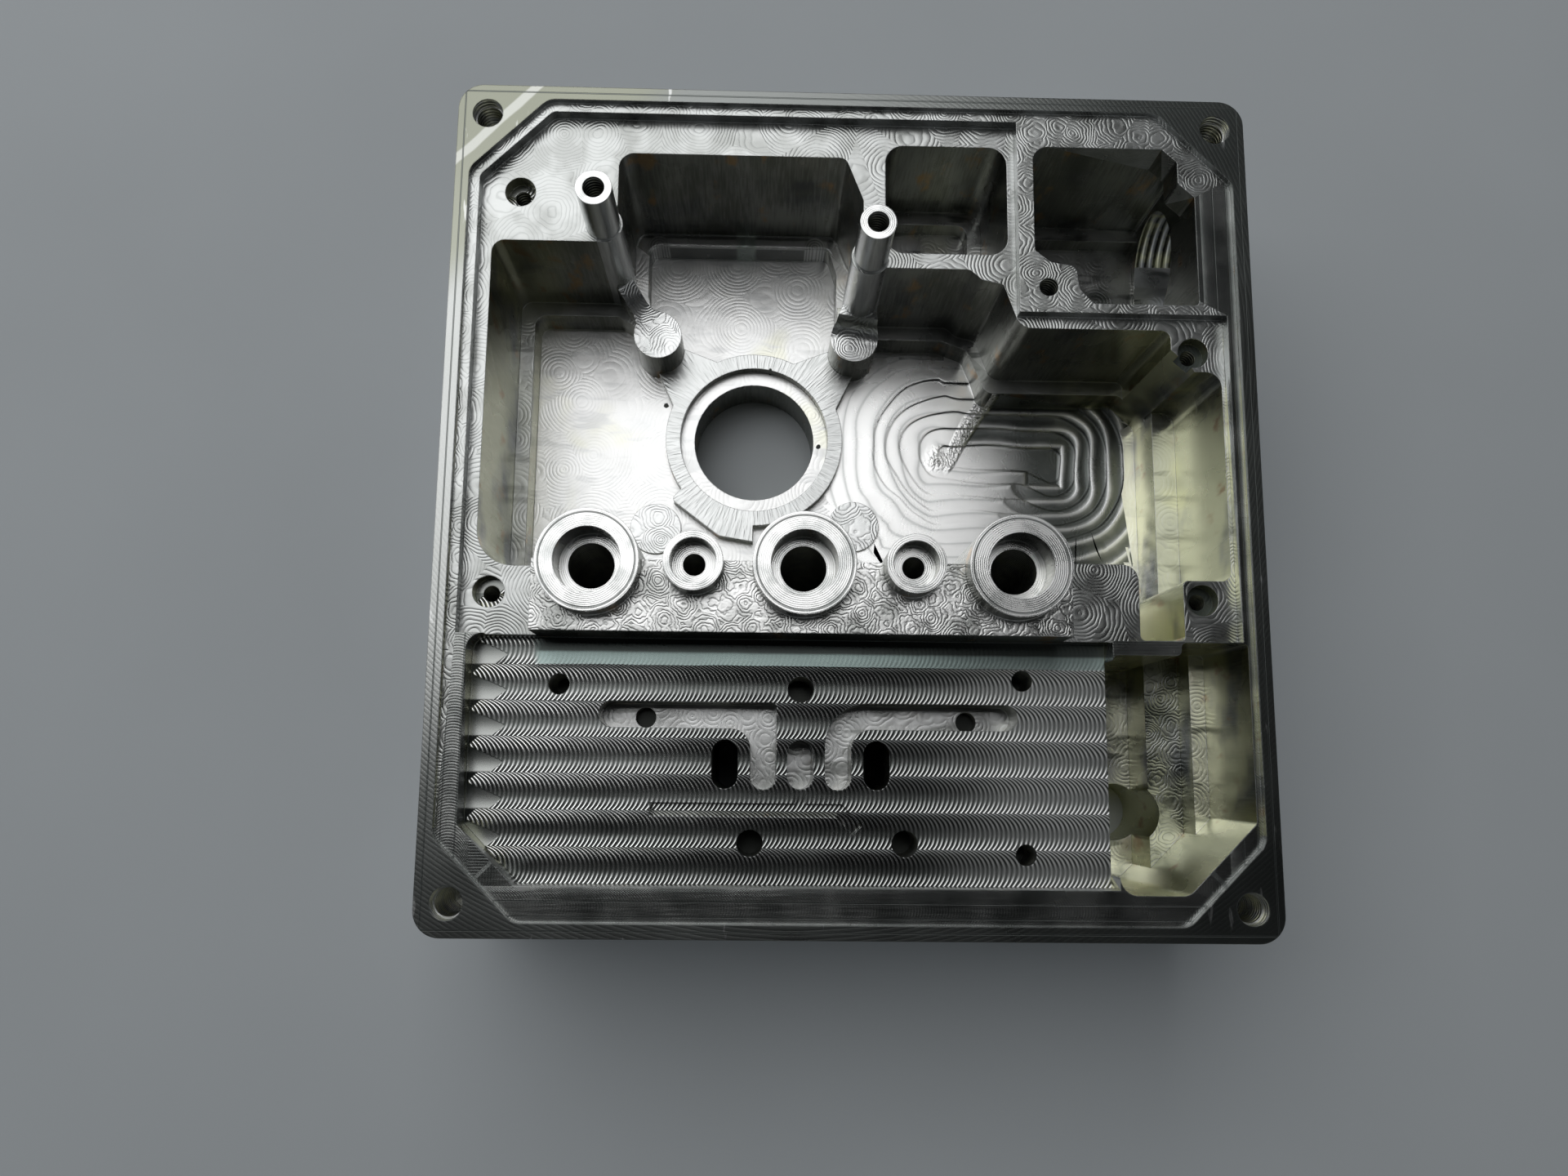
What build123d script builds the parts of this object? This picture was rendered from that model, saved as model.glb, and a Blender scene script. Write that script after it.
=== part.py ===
from build123d import *
import os

os.makedirs("parts", exist_ok=True)

# Milled aluminium equipment housing, one piece, open side up. The origin is the middle of the
# flat underside, X runs to the right along the boss row and Y away from the ribbed tray.

# Outer block and the stepped rim round its mouth
body_x = 126.5
body_y = 132.5
rim_z = 45.0
corner_r = 4.0
rim_land = 2.2
rim_chamfer = 12.0
rim_blend_r = 3.0
seat_drop = 1.1
seat_land = 1.5
ledge_drop = 2.1

# Main pocket
wall_west = 5.65
wall_east = 4.25
wall_north = 9.45
pocket_s_from_south = 54.85
nw_edge_from_north = 24.8
arm_n_from_north = 28.25
arm_s_from_north = 37.95
north_bay_w_from_west = 25.45
north_bay_wall = 3.55
north_bay_lean = 2.9
pocket_sw_r = 5.6
floor_corner_r = 3.0
pocket_r = 2.0
tight_r = 0.8
bend_r = 1.5
wide_r = 2.5
platform_jog = 1.5
gully_from_pocket_e = 14.5
gully_jog = 0.35
ear_x = 7.6
ear_drop = 0.9
north_ear_x = 7.9
north_ear_y = 6.8
arm_len = 24.1
arm_slope_x = 2.6
arm_notch_x = 5.4
arm_notch_y = 1.7
arm_notch_drop = 0.7
bay_shoulder_y = 7.3
neck_side = 1.8
shelf_z = 16.5
shelf_w = 2.5
floor_z = 10.0
north_shelf_z = 13.0
north_floor_z = 7.8
side_ledge_z = 20.0
side_ledge_w = 4.0

# Stepped terraces in the floor of the east bay
pit_z = 6.5
terrace_count = 5
terrace_rise = 0.65
terrace_tread = 2.8
pit_r = 1.9
pit_from_ring_x = 33.1
pit_x = 24.1
pit_n_from_ring_y = 1.1
pit_w_depth = 3.9
pit_lean = 1.1
pit_toe_x = 6.2
pit_toe_y = 3.0

# Bearing ring
ring_from_west = 47.85
ring_from_south = 83.95
ring_r = 16.05
ring_z = 12.5
seat_r = 13.4
seat_depth = 2.2
bore_r = 10.9
web_w = 13.0
web_tip_w = 4.4
web_root_inset = 3.0
lobe_root_x = 12.8
lobe_root_y = 9.2
lobe_tip_x = 14.8
lobe_tip_y = 11.4
lobe_toe_x = 6.1
lobe_toe_y = 18.0
lobe_y = 19.0

# Posts, their necks and the round pads beside the ring
post_z = 54.0
post_r = 2.78
post_foot_r = 3.1
post_hole_r = 1.65
post_hole_depth = 14.0
neck_w = 3.2
right_neck_w = 5.6
neck_z = 24.0
neck_toe = 0.8
neck_flare = 1.1
pad_r = 4.2
pad_z = 20.8
low_pad_r = 4.6
low_pad_z = 10.6
left_low_pad_from_ring = (-17.6, -16.5)
right_low_pad_from_ring = (18.2, -15.6)
left_post_from_west = 23.25
left_post_from_north = 21.85
right_post_from_bay = 1.15
right_post_from_north = 26.4
left_pad_from_west = 30.6
right_pad_from_bay = 0.25
pads_from_north = 32.25

# Raised deck with its row of bosses
deck_z = 48.5
deck_from_west = 15.35
platform_x = 12.1
first_boss_from_deck = 8.7
last_boss_from_deck = 8.4
boss_count = 3
boss_from_south = 54.05
boss_r = 7.6
boss_z = 52.5
boss_seat_r = 4.9
boss_seat_depth = 5.6
boss_hole_r = 3.45
small_boss_spread = 0.4
small_boss_r = 4.4
small_boss_z = 53.0
small_seat_r = 3.35
small_seat_depth = 4.0
small_hole_r = 1.65
small_hole_depth = 20.0

# Two closed pockets along the north side, the east one with a round threaded port
mid_pocket_x = 19.8
mid_pocket_y = 18.6
mid_pocket_from_east = 38.0
mid_pocket_from_north = 7.1
mid_shelf_z = 19.0
mid_floor_z = 15.0
port_pocket_x = 26.1
port_pocket_y = 26.6
port_pocket_from_east = 8.05
port_pocket_from_north = 7.9
port_block_z = 37.3
port_block_x = 5.1
port_block_y = 8.15
port_block_side = 2.6
port_block_north_run = 2.2
port_block_south_run = 2.3
port_shelf_z = 15.5
port_floor_z = 11.5
port_r = 10.0
port_axis_z = 22.6
port_axis_from_north = 18.95
port_land_from_east = 36.75
port_land_from_north = 36.05
port_boss_x = 9.2
port_boss_y = 8.85
port_boss_shoulder = (2.4, 6.9)
port_boss_nose = (6.6, 6.2)
port_boss_heel = (7.0, 2.4)
port_wall_overlap = 1.0
mid_pocket_r = 3.0
mid_floor_r = 2.0

# Ribbed tray
tray_z = 39.4
tray_w_from_west = 5.35
tray_n_from_south = 44.2
tray_s_from_south = 7.3
tray_chamfer = 8.7
tray_corner_r = 2.5
slot_w = 4.0
slot_depth = 6.5
slot_y_from_south = 32.55
slot_leg_end_from_south = 21.4
slot_inner_r = 3.0
left_slot_end_from_west = 24.9
left_slot_leg_from_west = 50.05
right_slot_leg_from_west = 61.45
right_slot_end_from_tray = 13.7
right_slot_bend_r = 6.5
obround_len = 7.4
obround_y_from_south = 25.15
left_obround_from_west = 44.2
centre_slot_from_west = 55.7
right_obround_from_west = 67.3
centre_slot_depth = 8.0
channel_w = 1.7
channel_depth = 1.0
channel_y_from_south = 18.3
channel_w_end_from_west = 33.0
channel_e_end_from_west = 61.6
channel_end_w = 2.0
channel_tail_x = 2.75
channel_tail_y = 2.85
slot_end_round = 0.48
tray_hole_depth = 9.0
tray_hole_r = 1.6
tray_wide_hole_r = 2.0

# East compartment beside the tray
slot_floor_z = 10.3
slot_x = 12.4
compartment_x = 20.7
compartment_n_from_south = 42.05
compartment_e_from_east = 3.05
compartment_s_from_south = 6.6
compartment_chamfer = 10.6
terrace_z = 20.0
terrace_e_from_east = 5.55
high_ledge_z = 25.5
compartment_r = 2.6
compartment_jog = 2.0
compartment_jog_from_ear = 1.4
drain_r = 4.9
drain_from_east = 14.45
drain_from_south = 17.85

# Screw holes
corner_hole_inset_x = 4.7
corner_hole_inset_y = 4.9
corner_hole_r = 2.1
corner_seat_r = 2.4
corner_seat_depth = 2.0
corner_hole_depth = 14.0
screw_seat_r = 2.45
screw_seat_depth = 2.5
screw_hole_r = 1.25
screw_hole_depth = 12.0
cover_hole_r = 1.5
cover_hole_from_east = 32.05
cover_hole_from_north = 31.85
nw_screw_x = 9.8
nw_screw_y = 16.6
sw_screw_x = 7.85
sw_screw_y = 4.1
ne_screw_x = 4.4
ne_screw_y = 3.7
se_screw_x = 4.65
se_screw_y = 3.05

# Derived levels and edges
seat_z = rim_z - seat_drop
ledge_z = seat_z - ledge_drop
west = -body_x / 2
east = body_x / 2
south = -body_y / 2
north = body_y / 2
pocket_w = west + wall_west
pocket_e = east - wall_east
pocket_n = north - wall_north
pocket_s = south + pocket_s_from_south
arm_n = north - arm_n_from_north
arm_s = north - arm_s_from_north
nw_edge = north - nw_edge_from_north
bay_w = west + north_bay_w_from_west
ring_x = west + ring_from_west
ring_y = south + ring_from_south
left_post = (west + left_post_from_west, north - left_post_from_north)
left_pad = (west + left_pad_from_west, north - pads_from_north)
deck_w = west + deck_from_west
deck_s = south + tray_n_from_south
boss_y = south + boss_from_south
tray_w = west + tray_w_from_west
tray_n = south + tray_n_from_south
tray_s = south + tray_s_from_south
slot_y = south + slot_y_from_south
slot_end_y = south + slot_leg_end_from_south
obround_y = south + obround_y_from_south
left_obround_x = west + left_obround_from_west
centre_slot_x = west + centre_slot_from_west
right_obround_x = west + right_obround_from_west
channel_y = south + channel_y_from_south
channel_w_end = west + channel_w_end_from_west
channel_e_end = west + channel_e_end_from_west
channel_tail = (channel_e_end + channel_tail_x, channel_y - channel_tail_y)
port_pocket_e = east - port_pocket_from_east
port_pocket_n = north - port_pocket_from_north
port_pocket_w = port_pocket_e - port_pocket_x
port_pocket_s = port_pocket_n - port_pocket_y
mid_centre = (
    east - mid_pocket_from_east - mid_pocket_x / 2,
    north - mid_pocket_from_north - mid_pocket_y / 2,
)
compartment_n = south + compartment_n_from_south
compartment_e = east - compartment_e_from_east
compartment_s = south + compartment_s_from_south
tray_e = compartment_e - compartment_x
terrace_e = east - terrace_e_from_east
low_pads = [
    (ring_x + left_low_pad_from_ring[0], ring_y + left_low_pad_from_ring[1]),
    (ring_x + right_low_pad_from_ring[0], ring_y + right_low_pad_from_ring[1]),
]

# Ear and gully between the main pocket and the east compartment
ear_w = pocket_e - ear_x
ear_n = pocket_s - ear_drop
gully_w = pocket_e - gully_from_pocket_e
gully_s = deck_s + gully_jog
deck_e = gully_w - platform_x
platform_n = pocket_s + platform_jog

# Bosses along the deck, the small ones about midway between the big ones
first_boss_x = deck_w + first_boss_from_deck
last_boss_x = deck_e - last_boss_from_deck
boss_pitch = (last_boss_x - first_boss_x) / (boss_count - 1)
bosses = [(first_boss_x + i * boss_pitch, boss_y) for i in range(boss_count)]
small_bosses = [
    (first_boss_x + boss_pitch / 2 - small_boss_spread, boss_y),
    (last_boss_x - boss_pitch / 2 + small_boss_spread, boss_y),
]

# East side of the north bay, with the right post and its pad
bay_e = mid_centre[0] - mid_pocket_x / 2 - north_bay_wall
right_post = (bay_e + right_post_from_bay, north - right_post_from_north)
right_pad = (bay_e + right_pad_from_bay, north - pads_from_north)

# Ear at the north end of the east wall
north_ear_w = pocket_e - north_ear_x
north_ear_s = arm_s - north_ear_y

# West end of the north arm's south edge, which slopes up to a notch by the right post
arm_w = north_ear_w - arm_len
notch_e = arm_w - arm_slope_x
notch_w = arm_w - arm_slope_x - arm_notch_x
notch_n = arm_n - arm_notch_y

# Holes in the tray's floor, as distances from its west or east edge and its south edge
west_tray_holes = [(13.35, 29.7), (26.2, 25.05)]
east_tray_holes = [(12.95, 31.0), (12.8, 4.7), (20.6, 24.8)]
wide_tray_holes = [(50.35, 29.3), (42.8, 6.1), (66.2, 6.2)]

# Seated screw holes in the ledge and their places
ledge_screws = [
    (west + nw_screw_x, north - nw_screw_y),
    (west + sw_screw_x, pocket_s - sw_screw_y),
    (pocket_e - ne_screw_x, arm_s - ne_screw_y),
    (pocket_e - se_screw_x, ear_n - se_screw_y),
]

# The main pocket's edge, anticlockwise from its south-west corner
pocket_edge = [
    ((pocket_w, pocket_s), pocket_sw_r),
    ((deck_e, pocket_s), 0),
    ((deck_e, platform_n), 0),
    ((gully_w, platform_n), wide_r),
    ((gully_w, gully_s), tight_r),
    ((ear_w, gully_s), tight_r),
    ((ear_w, ear_n), tight_r),
    ((pocket_e, ear_n), bend_r),
    ((pocket_e, north_ear_s), wide_r),
    ((north_ear_w, north_ear_s), pocket_r),
    ((north_ear_w, arm_s), bend_r),
    ((arm_w, arm_s), wide_r),
    ((notch_e, notch_n - arm_notch_drop), tight_r),
    ((notch_w + pocket_r, notch_n), tight_r),
    ((notch_w, arm_n), bend_r),
    ((bay_e, arm_n), 0),
    ((bay_e, pocket_n - bay_shoulder_y), bend_r),
    ((bay_e - north_bay_lean, pocket_n), bend_r),
    ((bay_w, pocket_n), wide_r),
    ((bay_w, left_post[1] + post_foot_r), tight_r),
    ((left_post[0], left_post[1] + neck_side), 0),
    ((left_post[0], nw_edge), 0),
    ((pocket_w, nw_edge), pocket_r),
]

with BuildSketch() as rim_mouth:
    Rectangle(body_x - 2 * rim_land, body_y - 2 * rim_land)
    chamfer(rim_mouth.vertices(), rim_chamfer)
    fillet(rim_mouth.vertices(), rim_blend_r)

with BuildSketch() as seat_mouth:
    add(rim_mouth.sketch)
    offset(amount=-seat_land)

# Floors of the three bays, which meet under the ring, the pads and the necks
west_floor_edge = [
    ((pocket_w + shelf_w, pocket_s), floor_corner_r),
    ((ring_x, pocket_s), 0),
    ((ring_x, ring_y), 0),
    (left_pad, 0),
    ((left_post[0], nw_edge - shelf_w), tight_r),
    ((pocket_w + shelf_w, nw_edge - shelf_w), pocket_r),
]
north_floor_edge = [
    ((ring_x, ring_y), 0),
    (right_pad, 0),
    ((bay_e - shelf_w, right_post[1]), tight_r),
    ((bay_e - shelf_w, pocket_n - bay_shoulder_y), bend_r),
    ((bay_e - shelf_w - north_bay_lean / 2, pocket_n - shelf_w), bend_r),
    ((bay_w + shelf_w, pocket_n - shelf_w), pocket_r),
    ((bay_w + shelf_w, left_post[1]), tight_r),
    (left_pad, 0),
]
east_floor_edge = [
    ((ring_x, pocket_s), 0),
    ((deck_e, pocket_s), 0),
    ((deck_e, platform_n), 0),
    ((gully_w, platform_n), wide_r),
    ((gully_w, gully_s), tight_r),
    ((ear_w - tight_r, gully_s), tight_r),
    ((ear_w - tight_r, ear_n), tight_r),
    ((pocket_e - side_ledge_w, ear_n), tight_r / 2),
    ((pocket_e - side_ledge_w, north_ear_s), wide_r),
    ((north_ear_w - tight_r, arm_s - shelf_w), bend_r),
    ((arm_w - tight_r, arm_s - shelf_w), pocket_r),
    ((notch_e - bend_r, notch_n - shelf_w), bend_r),
    ((notch_w - tight_r, arm_n - shelf_w), bend_r),
    ((right_post[0] + post_foot_r, arm_n - shelf_w), bend_r),
    (right_pad, 0),
    ((ring_x, ring_y), 0),
]


def outline(edge):
    """Face inside a closed run of points, each with the radius of its corner."""
    with BuildSketch() as face:
        with BuildLine():
            FilletPolyline([p for p, r in edge], radius=[r for p, r in edge], close=True)
        make_face()
    return face.sketch


# Deepest part of the east bay's floor
pit_w = ring_x + pit_from_ring_x
pit_e = pit_w + pit_x
pit_n = ring_y + pit_n_from_ring_y
pit_toe_n = pit_n - pit_w_depth - pit_lean
pit_edge = [
    ((pit_w, pit_n - pit_w_depth), pit_r),
    ((pit_e - pit_toe_x, pit_toe_n), wide_r),
    ((pit_e, pit_toe_n - pit_toe_y), bend_r),
    ((pit_e, pit_n), pit_r),
    ((pit_w, pit_n), pit_r),
]

# South-west lobe that ties the ring to the deck's wall
lobe_edge = [
    ((ring_x, ring_y), 0),
    ((ring_x - lobe_root_x, ring_y - lobe_root_y), tight_r / 2),
    ((ring_x - lobe_tip_x, ring_y - lobe_tip_y), tight_r),
    ((ring_x - lobe_toe_x, ring_y - lobe_toe_y), bend_r),
    ((ring_x, ring_y - lobe_y), 0),
]

# Port pocket with the screw boss in one corner, and the block that fills the one opposite near
# the mouth
port_pocket_edge = [
    ((port_pocket_e, port_pocket_s), tight_r),
    ((port_pocket_e, port_pocket_n), tight_r),
    ((port_pocket_w, port_pocket_n), wide_r),
    ((port_pocket_w, port_pocket_s + port_boss_y), tight_r),
    ((port_pocket_w + port_boss_shoulder[0], port_pocket_s + port_boss_shoulder[1]), bend_r),
    ((port_pocket_w + port_boss_nose[0], port_pocket_s + port_boss_nose[1]), bend_r),
    ((port_pocket_w + port_boss_heel[0], port_pocket_s + port_boss_heel[1]), bend_r),
    ((port_pocket_w + port_boss_x, port_pocket_s), tight_r),
]
port_block_edge = [
    ((port_pocket_e + tight_r, port_pocket_n - port_block_y - tight_r), 0),
    ((port_pocket_e + tight_r, port_pocket_n + tight_r), 0),
    ((port_pocket_e - port_block_x - tight_r, port_pocket_n + tight_r), 0),
    ((port_pocket_e - port_block_side, port_pocket_n - port_block_north_run), tight_r),
    ((port_pocket_e - port_block_side, port_pocket_n - port_block_y + port_block_south_run), tight_r),
]

# Tray, open to the compartment at its east end
tray_edge = [
    ((tray_w, tray_n), tray_corner_r),
    ((tray_w, tray_s + tray_chamfer), tight_r),
    ((tray_w + tray_chamfer, tray_s), tight_r),
    ((tray_e, tray_s), 0),
    ((tray_e, tray_n), 0),
]
slot_n = slot_y + slot_w / 2
slot_s = slot_y - slot_w / 2
slot_r = slot_end_round * slot_w
left_leg_x = west + left_slot_leg_from_west
right_leg_x = west + right_slot_leg_from_west
left_slot_edge = [
    ((west + left_slot_end_from_west, slot_n), slot_r),
    ((west + left_slot_end_from_west, slot_s), slot_r),
    ((left_leg_x - slot_w / 2, slot_s), slot_inner_r),
    ((left_leg_x - slot_w / 2, slot_end_y), slot_r),
    ((left_leg_x + slot_w / 2, slot_end_y), slot_r),
    ((left_leg_x + slot_w / 2, slot_n), tight_r),
]
right_slot_edge = [
    ((tray_e - right_slot_end_from_tray, slot_n), slot_r),
    ((right_leg_x - slot_w / 2, slot_n), right_slot_bend_r),
    ((right_leg_x - slot_w / 2, slot_end_y), slot_r),
    ((right_leg_x + slot_w / 2, slot_end_y), slot_r),
    ((right_leg_x + slot_w / 2, slot_s), slot_inner_r),
    ((tray_e - right_slot_end_from_tray, slot_s), slot_r),
]

# East compartment's mouth
compartment_edge = [
    ((tray_e, compartment_n), tight_r),
    ((tray_e, compartment_s), compartment_r),
    ((compartment_e - compartment_chamfer, compartment_s), wide_r),
    ((compartment_e, compartment_s + compartment_chamfer), tight_r),
    ((compartment_e, compartment_n + compartment_jog), tight_r),
    ((ear_w - compartment_jog_from_ear, compartment_n + compartment_jog), tight_r),
    ((ear_w - compartment_jog_from_ear, compartment_n), tight_r),
]


def web_edge(pad):
    """Edge of the tapered web from the ring's centre to a pad."""
    along = (Vector(*pad) - Vector(ring_x, ring_y)).normalized()
    across = along.rotate(Axis.Z, 90)
    root = Vector(ring_x, ring_y) + along * (ring_r - web_root_inset)
    tip = Vector(*pad)
    corners = [
        root - across * web_w / 2,
        tip - across * web_tip_w / 2,
        tip + across * web_tip_w / 2,
        root + across * web_w / 2,
    ]
    return [((corner.X, corner.Y), 0) for corner in corners]


def neck_edge(post, pad, width):
    """Edge of a neck seen from above, which flares where it meets its pad."""
    along = (Vector(*pad) - Vector(*post)).normalized()
    across = along.rotate(Axis.Z, 90)
    foot = Vector(*post)
    waist = Vector(*pad) - along * (pad_r + neck_flare)
    root = Vector(*pad) - along * neck_flare
    sides = [(foot, width / 2), (waist, width / 2), (root, width / 2 + neck_flare)]
    corners = [point - across * half for point, half in sides]
    corners += [point + across * half for point, half in reversed(sides)]
    return [((corner.X, corner.Y), 0) for corner in corners]


def neck(post, pad, width):
    """Pad's top and the neck that climbs from it to a post's foot in one hollow curve."""
    along = Vector(*pad) - Vector(*post)
    side = Plane(origin=(*post, 0), x_dir=along, z_dir=along.rotate(Axis.Z, -90))
    toe = along.length + neck_toe
    with BuildPart() as wall:
        with BuildSketch(side):
            with BuildLine():
                Polyline(
                    (toe, pad_z),
                    (along.length + 2 * pad_r, pad_z),
                    (along.length + 2 * pad_r, pit_z),
                    (0, pit_z),
                    (0, neck_z),
                    (post_foot_r, neck_z),
                )
                TangentArc((toe, pad_z), (post_foot_r, neck_z), tangent=(-1, 0))
            make_face()
        extrude(amount=pad_r, both=True)
        with BuildSketch(Plane.XY.offset(pit_z)):
            with Locations(pad):
                Circle(pad_r)
            add(outline(neck_edge(post, pad, width)))
        extrude(amount=neck_z - pit_z, mode=Mode.INTERSECT)
    return wall.part


compartment = outline(compartment_edge)
pocket_mouth = outline(pocket_edge)
west_floor = outline(west_floor_edge)
north_floor = outline(north_floor_edge)
east_floor = outline(east_floor_edge)
pit = outline(pit_edge)

with BuildPart() as housing:
    # Outer block
    with BuildSketch(Plane.XY):
        RectangleRounded(body_x, body_y, corner_r)
    extrude(amount=rim_z)
    # Stepped rim, with the land round the port pocket left at the seat's level
    with BuildSketch(Plane.XY.offset(seat_z)):
        add(rim_mouth.sketch)
    extrude(amount=rim_z, mode=Mode.SUBTRACT)
    with BuildSketch(Plane.XY.offset(ledge_z)):
        add(seat_mouth.sketch)
        with Locations((east - port_land_from_east, north - port_land_from_north)):
            Rectangle(body_x, body_y, align=Align.MIN, mode=Mode.SUBTRACT)
        with Locations((0, tray_n)):
            Rectangle(body_x, body_y, align=(Align.CENTER, Align.MAX), mode=Mode.SUBTRACT)
    extrude(amount=rim_z, mode=Mode.SUBTRACT)
    # Main pocket down to the shelf round the foot of its walls
    with BuildSketch(Plane.XY.offset(shelf_z)):
        add(pocket_mouth)
    extrude(amount=rim_z, mode=Mode.SUBTRACT)
    with BuildSketch(Plane.XY.offset(north_shelf_z)):
        add(pocket_mouth)
        with Locations(((bay_w + bay_e) / 2, nw_edge)):
            Rectangle(bay_e - bay_w, body_y, align=(Align.CENTER, Align.MIN), mode=Mode.INTERSECT)
    extrude(amount=rim_z, mode=Mode.SUBTRACT)
    # Floors of the three bays
    with BuildSketch(Plane.XY.offset(floor_z)):
        add(west_floor)
        add(east_floor)
    extrude(amount=rim_z, mode=Mode.SUBTRACT)
    with BuildSketch(Plane.XY.offset(north_floor_z)):
        add(north_floor)
    extrude(amount=rim_z, mode=Mode.SUBTRACT)
    # Terraces that step down to the pit in the east bay
    for step in range(terrace_count):
        with BuildSketch(Plane.XY.offset(pit_z + step * terrace_rise)):
            add(pit)
            offset(amount=step * terrace_tread)
            add(east_floor, mode=Mode.INTERSECT)
        extrude(amount=rim_z, mode=Mode.SUBTRACT)

    # Ledge along the foot of the east wall
    with BuildSketch(Plane.XY.offset(shelf_z)):
        with Locations((pocket_e - side_ledge_w, ear_n)):
            Rectangle(side_ledge_w, north_ear_s - ear_n, align=Align.MIN)
    extrude(amount=side_ledge_z - shelf_z)
    # Low pads, and the webs that tie the ring to the two high ones
    with BuildSketch(Plane.XY.offset(pit_z)):
        with Locations(*low_pads):
            Circle(low_pad_r)
    extrude(amount=low_pad_z - pit_z)
    with BuildSketch(Plane.XY.offset(pit_z)):
        with Locations((ring_x, ring_y)):
            Circle(ring_r)
        add(outline(web_edge(left_pad)))
        add(outline(web_edge(right_pad)))
        add(outline(lobe_edge))
    extrude(amount=ring_z - pit_z)
    # High pads, with the necks that climb from them to the feet of the posts
    add(neck(left_post, left_pad, neck_w))
    add(neck(right_post, right_pad, right_neck_w))
    # Posts
    with BuildSketch(Plane.XY.offset(pit_z)):
        with Locations(left_post, right_post):
            Circle(post_foot_r)
    extrude(amount=ledge_z - pit_z)
    with BuildSketch(Plane.XY.offset(ledge_z)):
        with Locations(left_post, right_post):
            Circle(post_r)
    extrude(amount=post_z - ledge_z)
    # Deck and bosses, which run down the pocket's wall as round columns
    with BuildSketch(Plane.XY.offset(ledge_z)):
        with Locations((deck_w, deck_s)):
            Rectangle(deck_e - deck_w, pocket_s - deck_s, align=Align.MIN)
    extrude(amount=deck_z - ledge_z)
    with BuildSketch(Plane.XY.offset(pit_z)):
        with Locations(*bosses):
            Circle(boss_r)
    extrude(amount=boss_z - pit_z)
    with BuildSketch(Plane.XY.offset(pit_z)):
        with Locations(*small_bosses):
            Circle(small_boss_r)
    extrude(amount=small_boss_z - pit_z)
    # Closed pocket in the middle of the north side
    with BuildSketch(Plane.XY.offset(mid_shelf_z)):
        with Locations(mid_centre):
            RectangleRounded(mid_pocket_x, mid_pocket_y, mid_pocket_r)
    extrude(amount=rim_z, mode=Mode.SUBTRACT)
    with BuildSketch(Plane.XY.offset(mid_floor_z)):
        with Locations(mid_centre):
            RectangleRounded(mid_pocket_x - 2 * shelf_w, mid_pocket_y - 2 * shelf_w, mid_floor_r)
    extrude(amount=rim_z, mode=Mode.SUBTRACT)
    # Port pocket, its shelf and the round port through the east wall
    with BuildSketch(Plane.XY.offset(port_shelf_z)):
        add(outline(port_pocket_edge))
    extrude(amount=rim_z, mode=Mode.SUBTRACT)
    with BuildSketch(Plane.XY.offset(port_floor_z)):
        add(outline(port_pocket_edge))
        with Locations((port_pocket_w + shelf_w, port_pocket_n - shelf_w)):
            Rectangle(body_x, body_y, align=(Align.MIN, Align.MAX), mode=Mode.INTERSECT)
    extrude(amount=rim_z - port_floor_z, mode=Mode.SUBTRACT)
    with BuildSketch(Plane.XY.offset(port_block_z)):
        add(outline(port_block_edge))
    extrude(amount=seat_z - port_block_z)
    with BuildSketch(Plane.YZ.offset(port_pocket_e - port_wall_overlap)):
        with Locations((north - port_axis_from_north, port_axis_z)):
            Circle(port_r)
    extrude(amount=body_x, mode=Mode.SUBTRACT)
    # Tray
    with BuildSketch(Plane.XY.offset(tray_z)):
        add(outline(tray_edge))
    extrude(amount=seat_z - tray_z, mode=Mode.SUBTRACT)
    # Slots, obrounds and the shallow channel in the tray's floor
    with BuildSketch(Plane.XY.offset(tray_z - slot_depth)):
        add(outline(left_slot_edge))
        add(outline(right_slot_edge))
    extrude(amount=slot_depth, mode=Mode.SUBTRACT)
    with BuildSketch(Plane.XY):
        with Locations((left_obround_x, obround_y), (right_obround_x, obround_y)):
            SlotOverall(obround_len, slot_w, rotation=90)
    extrude(amount=tray_z, mode=Mode.SUBTRACT)
    with BuildSketch(Plane.XY.offset(tray_z - centre_slot_depth)):
        with Locations((centre_slot_x, obround_y)):
            SlotOverall(obround_len, slot_w, rotation=90)
    extrude(amount=centre_slot_depth, mode=Mode.SUBTRACT)
    with BuildSketch(Plane.XY.offset(tray_z - channel_depth)):
        with Locations((centre_slot_x, channel_y)):
            Rectangle(channel_w, obround_y - channel_y, align=(Align.CENTER, Align.MIN))
        with BuildLine():
            Polyline((channel_w_end, channel_y), (channel_e_end, channel_y), channel_tail)
        trace(line_width=channel_end_w)
    extrude(amount=channel_depth, mode=Mode.SUBTRACT)
    with Locations(*[(tray_w + x, tray_s + y, tray_z) for x, y in west_tray_holes]):
        Hole(tray_hole_r, depth=tray_hole_depth)
    with Locations(*[(tray_e - x, tray_s + y, tray_z) for x, y in east_tray_holes]):
        Hole(tray_hole_r, depth=tray_hole_depth)
    with Locations(*[(tray_w + x, tray_s + y, tray_z) for x, y in wide_tray_holes]):
        Hole(tray_wide_hole_r, depth=tray_hole_depth)
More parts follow.
